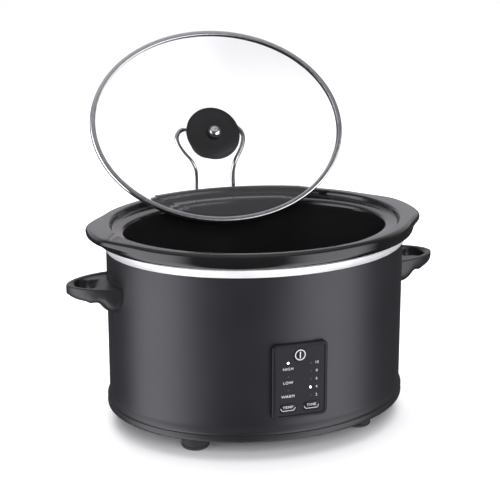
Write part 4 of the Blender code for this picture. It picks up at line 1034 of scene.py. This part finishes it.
def make_knob():
    base = DOME_HEIGHT + 1.6
    flange = base + 3.2
    head = flange + KNOB_NECK_LENGTH
    top = head + KNOB_HEAD_HEIGHT
    profile = [(0.0, top - 0.9), (4.0, top - 0.7), (9.0, top - 0.3), (12.0, top - 0.8), (15.4, top - 2.4),
               (17.9, top - 4.8), (KNOB_HEAD, top - 7.6), (KNOB_HEAD, head + 1.8), (18.0, head + 0.2),
               (14.6, head - 1.2), (12.3, head - 3.0), (KNOB_NECK, head - 5.6), (KNOB_NECK, flange + 2.0),
               (12.8, flange + 0.4), (16.0, flange), (KNOB_FLANGE - 1.4, flange - 0.5),
               (KNOB_FLANGE, flange - 1.4), (KNOB_FLANGE, base + 0.6), (KNOB_FLANGE - 0.7, base),
               (KNOB_FLANGE - 1.6, base), (KNOB_FLANGE - 1.9, base + 0.45), (KNOB_FLANGE - 2.3, base + 0.45),
               (KNOB_FLANGE - 2.6, base), (3.0, base), (3.0, base + 16.0), (0.0, base + 16.0)]
    knob = turned("knob_body", rounded(profile, 1.0, 4), "knob", LID_FRAME, steps=128)
    settle(knob, "lid", "black_plastic", "lid_knob")
    low = DOME_HEIGHT + 0.3
    seal = KNOB_FLANGE - 3.0
    gasket = [(seal, low + 1.0), (seal, low), (3.5, low), (3.5, low + 1.0)]
    settle(turned("knob_seal", rounded(gasket, 0.25, 2, True), "knob", LID_FRAME, steps=96, closed=True),
           "lid", "silicone_seal", "knob_gasket")
    under = DOME_HEIGHT - GLASS - 0.3
    washer = [(6.8, under), (6.8, under - 0.5), (6.4, under - 0.8), (3.0, under - 0.8), (3.0, under)]
    settle(turned("screw_seal", rounded(washer, 0.2, 3, True), "silicone", LID_FRAME, steps=96, closed=True),
           "lid", "silicone_seal", "screw_washer")
    head_low = under - 1.1
    profile = [(0.0, base + 14.6), (2.5, base + 14.6), (2.5, head_low), (5.3, head_low), (5.3, head_low - 0.9),
               (4.6, head_low - 1.7), (2.6, head_low - 2.3), (0.0, head_low - 2.4)]
    screw = turned("lid_screw_chrome", rounded(profile, 0.5, 4), "chrome", LID_FRAME, steps=64)
    cross_recess(screw, LID_FRAME @ at(0, 0, head_low - 2.4, UPSIDE_DOWN), 2.9, 1.5, 1.1)
    screw.data.set_sharp_from_angle(angle=math.radians(SHARP))
    settle(screw, "lid", "wire_chrome", "lid_screw")


# ---------------------------------------------------------------- lid rest

WIRE_RADIUS = 2.25
WIRE_SPACING = 20.0
WIRE_PLANE = 38.0
WIRE_Y = MIDDLE + RIM[1] + 1.2 + WIRE_RADIUS


def hook_point(x, v):
    """A place in the hook's plane, which lies between the glass and the knob's head, v up along the lid."""
    y = LID_CENTRE.y + WIRE_PLANE * math.cos(LID_LEAN) + v * math.sin(LID_LEAN)
    z = LID_CENTRE.z - WIRE_PLANE * math.sin(LID_LEAN) + v * math.cos(LID_LEAN)
    return Vector((x, y, z))


def smooth_path(knots, steps):
    padded = [2 * knots[0] - knots[1]] + knots + [2 * knots[-1] - knots[-2]]
    points = []
    for i in range(len(knots) - 1):
        points += [passing(*padded[i:i + 4], k / steps) for k in range(steps)]
    points.append(knots[-1])
    return points


def make_wire():
    """The same route as the CAD wire's, drawn finer."""
    saddle = KNOB_NECK + WIRE_RADIUS + 0.8
    s = WIRE_SPACING
    hook = [(0.0, -saddle), (0.42 * s, 0.4 - saddle), (s - 5.5, 3.0 - saddle), (s - 1.4, -4.5),
            (s + 1.2, 4.6), (s + 5.6, 10.4), (s + 11.0, 9.4), (s + 15.0, 4.0), (s + 15.6, -2.6),
            (s + 13.0, -10.4), (s + 9.0, -17.4), (s + 4.8, -23.6)]
    bend = (WIRE_Y - hook_point(0, 0).y) / math.sin(LID_LEAN)
    shoulder = hook_point(0, bend).z
    knots = [hook_point(x, v) for x, v in hook]
    knots += [Vector((s + 1.4, WIRE_Y, shoulder - 4.0)), Vector((s, WIRE_Y, shoulder - 12.5)),
              Vector((s, WIRE_Y, shoulder - 24.0))]
    half = smooth_path(knots, 10)
    half.append(Vector((s, WIRE_Y, WIRE_LOW.z + 0.2)))
    points = [Vector((-p.x, p.y, p.z)) for p in reversed(half[1:])] + half
    curve = bpy.data.curves.new("wire", "CURVE")
    curve.dimensions = "3D"
    curve.bevel_depth = WIRE_RADIUS * MM
    curve.bevel_resolution = 6
    curve.use_fill_caps = True
    spline = curve.splines.new("POLY")
    spline.points.add(len(points) - 1)
    for knot, point in zip(spline.points, points):
        knot.co = (*(point * MM), 1.0)
    mesh = curve_mesh("wire", curve)
    bm = bmesh.new()
    bm.from_mesh(mesh)
    bmesh.ops.remove_doubles(bm, verts=bm.verts, dist=0.000002)
    bm.to_mesh(mesh)
    bm.free()
    wire = place_new("lid_rest_hook", mesh, "chrome")
    settle(wire, "lid_rest", "wire_chrome", "lid_rest_wire")


def make_bracket():
    """Two guide columns joined by a web, seated against the rear of the shell."""
    low = BRACKET_LOW.z
    high = BRACKET_HIGH.z
    back = BRACKET_HIGH.y
    half = BRACKET_HIGH.x
    column = min(back - WIRE_Y, half - WIRE_SPACING)
    bore = WIRE_RADIUS + 0.35
    block = prism("guide_block", rounded_rectangle(half, 9.0, 3.0), low, high, "plastic",
                  at(0, back - column - 7.2, 0))
    for x in (-WIRE_SPACING, WIRE_SPACING):
        combine(block, prism("column", ellipse(x, WIRE_Y, column, column), low, high), "UNION")
    for height in (low + 16, (low + high) / 2, high - 16):
        rib = [(-WIRE_SPACING, back - column - 3), (WIRE_SPACING, back - column - 3),
               (WIRE_SPACING, back - 1.2), (-WIRE_SPACING, back - 1.2)]
        combine(block, prism("cross_rib", rib, height - 1.4, height + 1.4), "UNION")
    soften(block, 0.75, 5)
    for x in (-WIRE_SPACING, WIRE_SPACING):
        combine(block, prism("guide", ellipse(x, WIRE_Y, bore, bore), low + 2.6, high + 10))
    combine(block, seat_tool())
    shade(block)
    paint(block, "plastic")
    block.name = "lid_rest_guides"
    settle(block, "base", "black_plastic", "lid_rest_bracket")


def make_gland():
    middle = node_centre("cord_gland")
    outward = at(middle.x, MIDDLE + BODY[1], middle.z, Matrix.Rotation(-math.pi / 2, 4, "X"))
    profile = [(5.9, 4.2), (6.6, 3.9), (9.3, 2.4), (9.5, 1.6), (9.5, 0.3), (7.5, 0.3), (7.5, -8.3), (4.2, -8.3),
               (4.2, 3.2), (4.6, 4.2)]
    gland = turned("cord_grommet", rounded(profile, 0.4, 3, closed=True), "plastic", outward, closed=True)
    settle(gland, "base", "black_plastic", "cord_gland")


# ---------------------------------------------------------------- inner pieces keep their CAD shapes

INNER = {
    "heater_band": "mica", "thermal_fuse": "grey", "sensor_seat": "plastic", "power_board": "board",
    "control_board": "board", "power_relay": "component", "filter_capacitor": "component",
    "control_chip": "plastic", "power_switch": "grey", "temp_switch": "grey", "time_switch": "grey",
    "temperature_sensor": "screw", "sensor_spring": "screw", "liner_stud": "screw", "stud_nut": "screw",
}


def paint_inner():
    for name, node in NODES.items():
        if name in INNER:
            paint(node, INNER[name])
        elif "screw" in name:
            paint(node, "screw")


make_camera()
make_studio()
make_shell()
make_base_pan()
make_feet()
make_trim()
make_liner()
make_crock()
make_handle(-1)
make_handle(1)
make_panel()
make_lid_glass()
make_lid_rim()
make_knob()
make_wire()
make_bracket()
make_gland()
paint_inner()
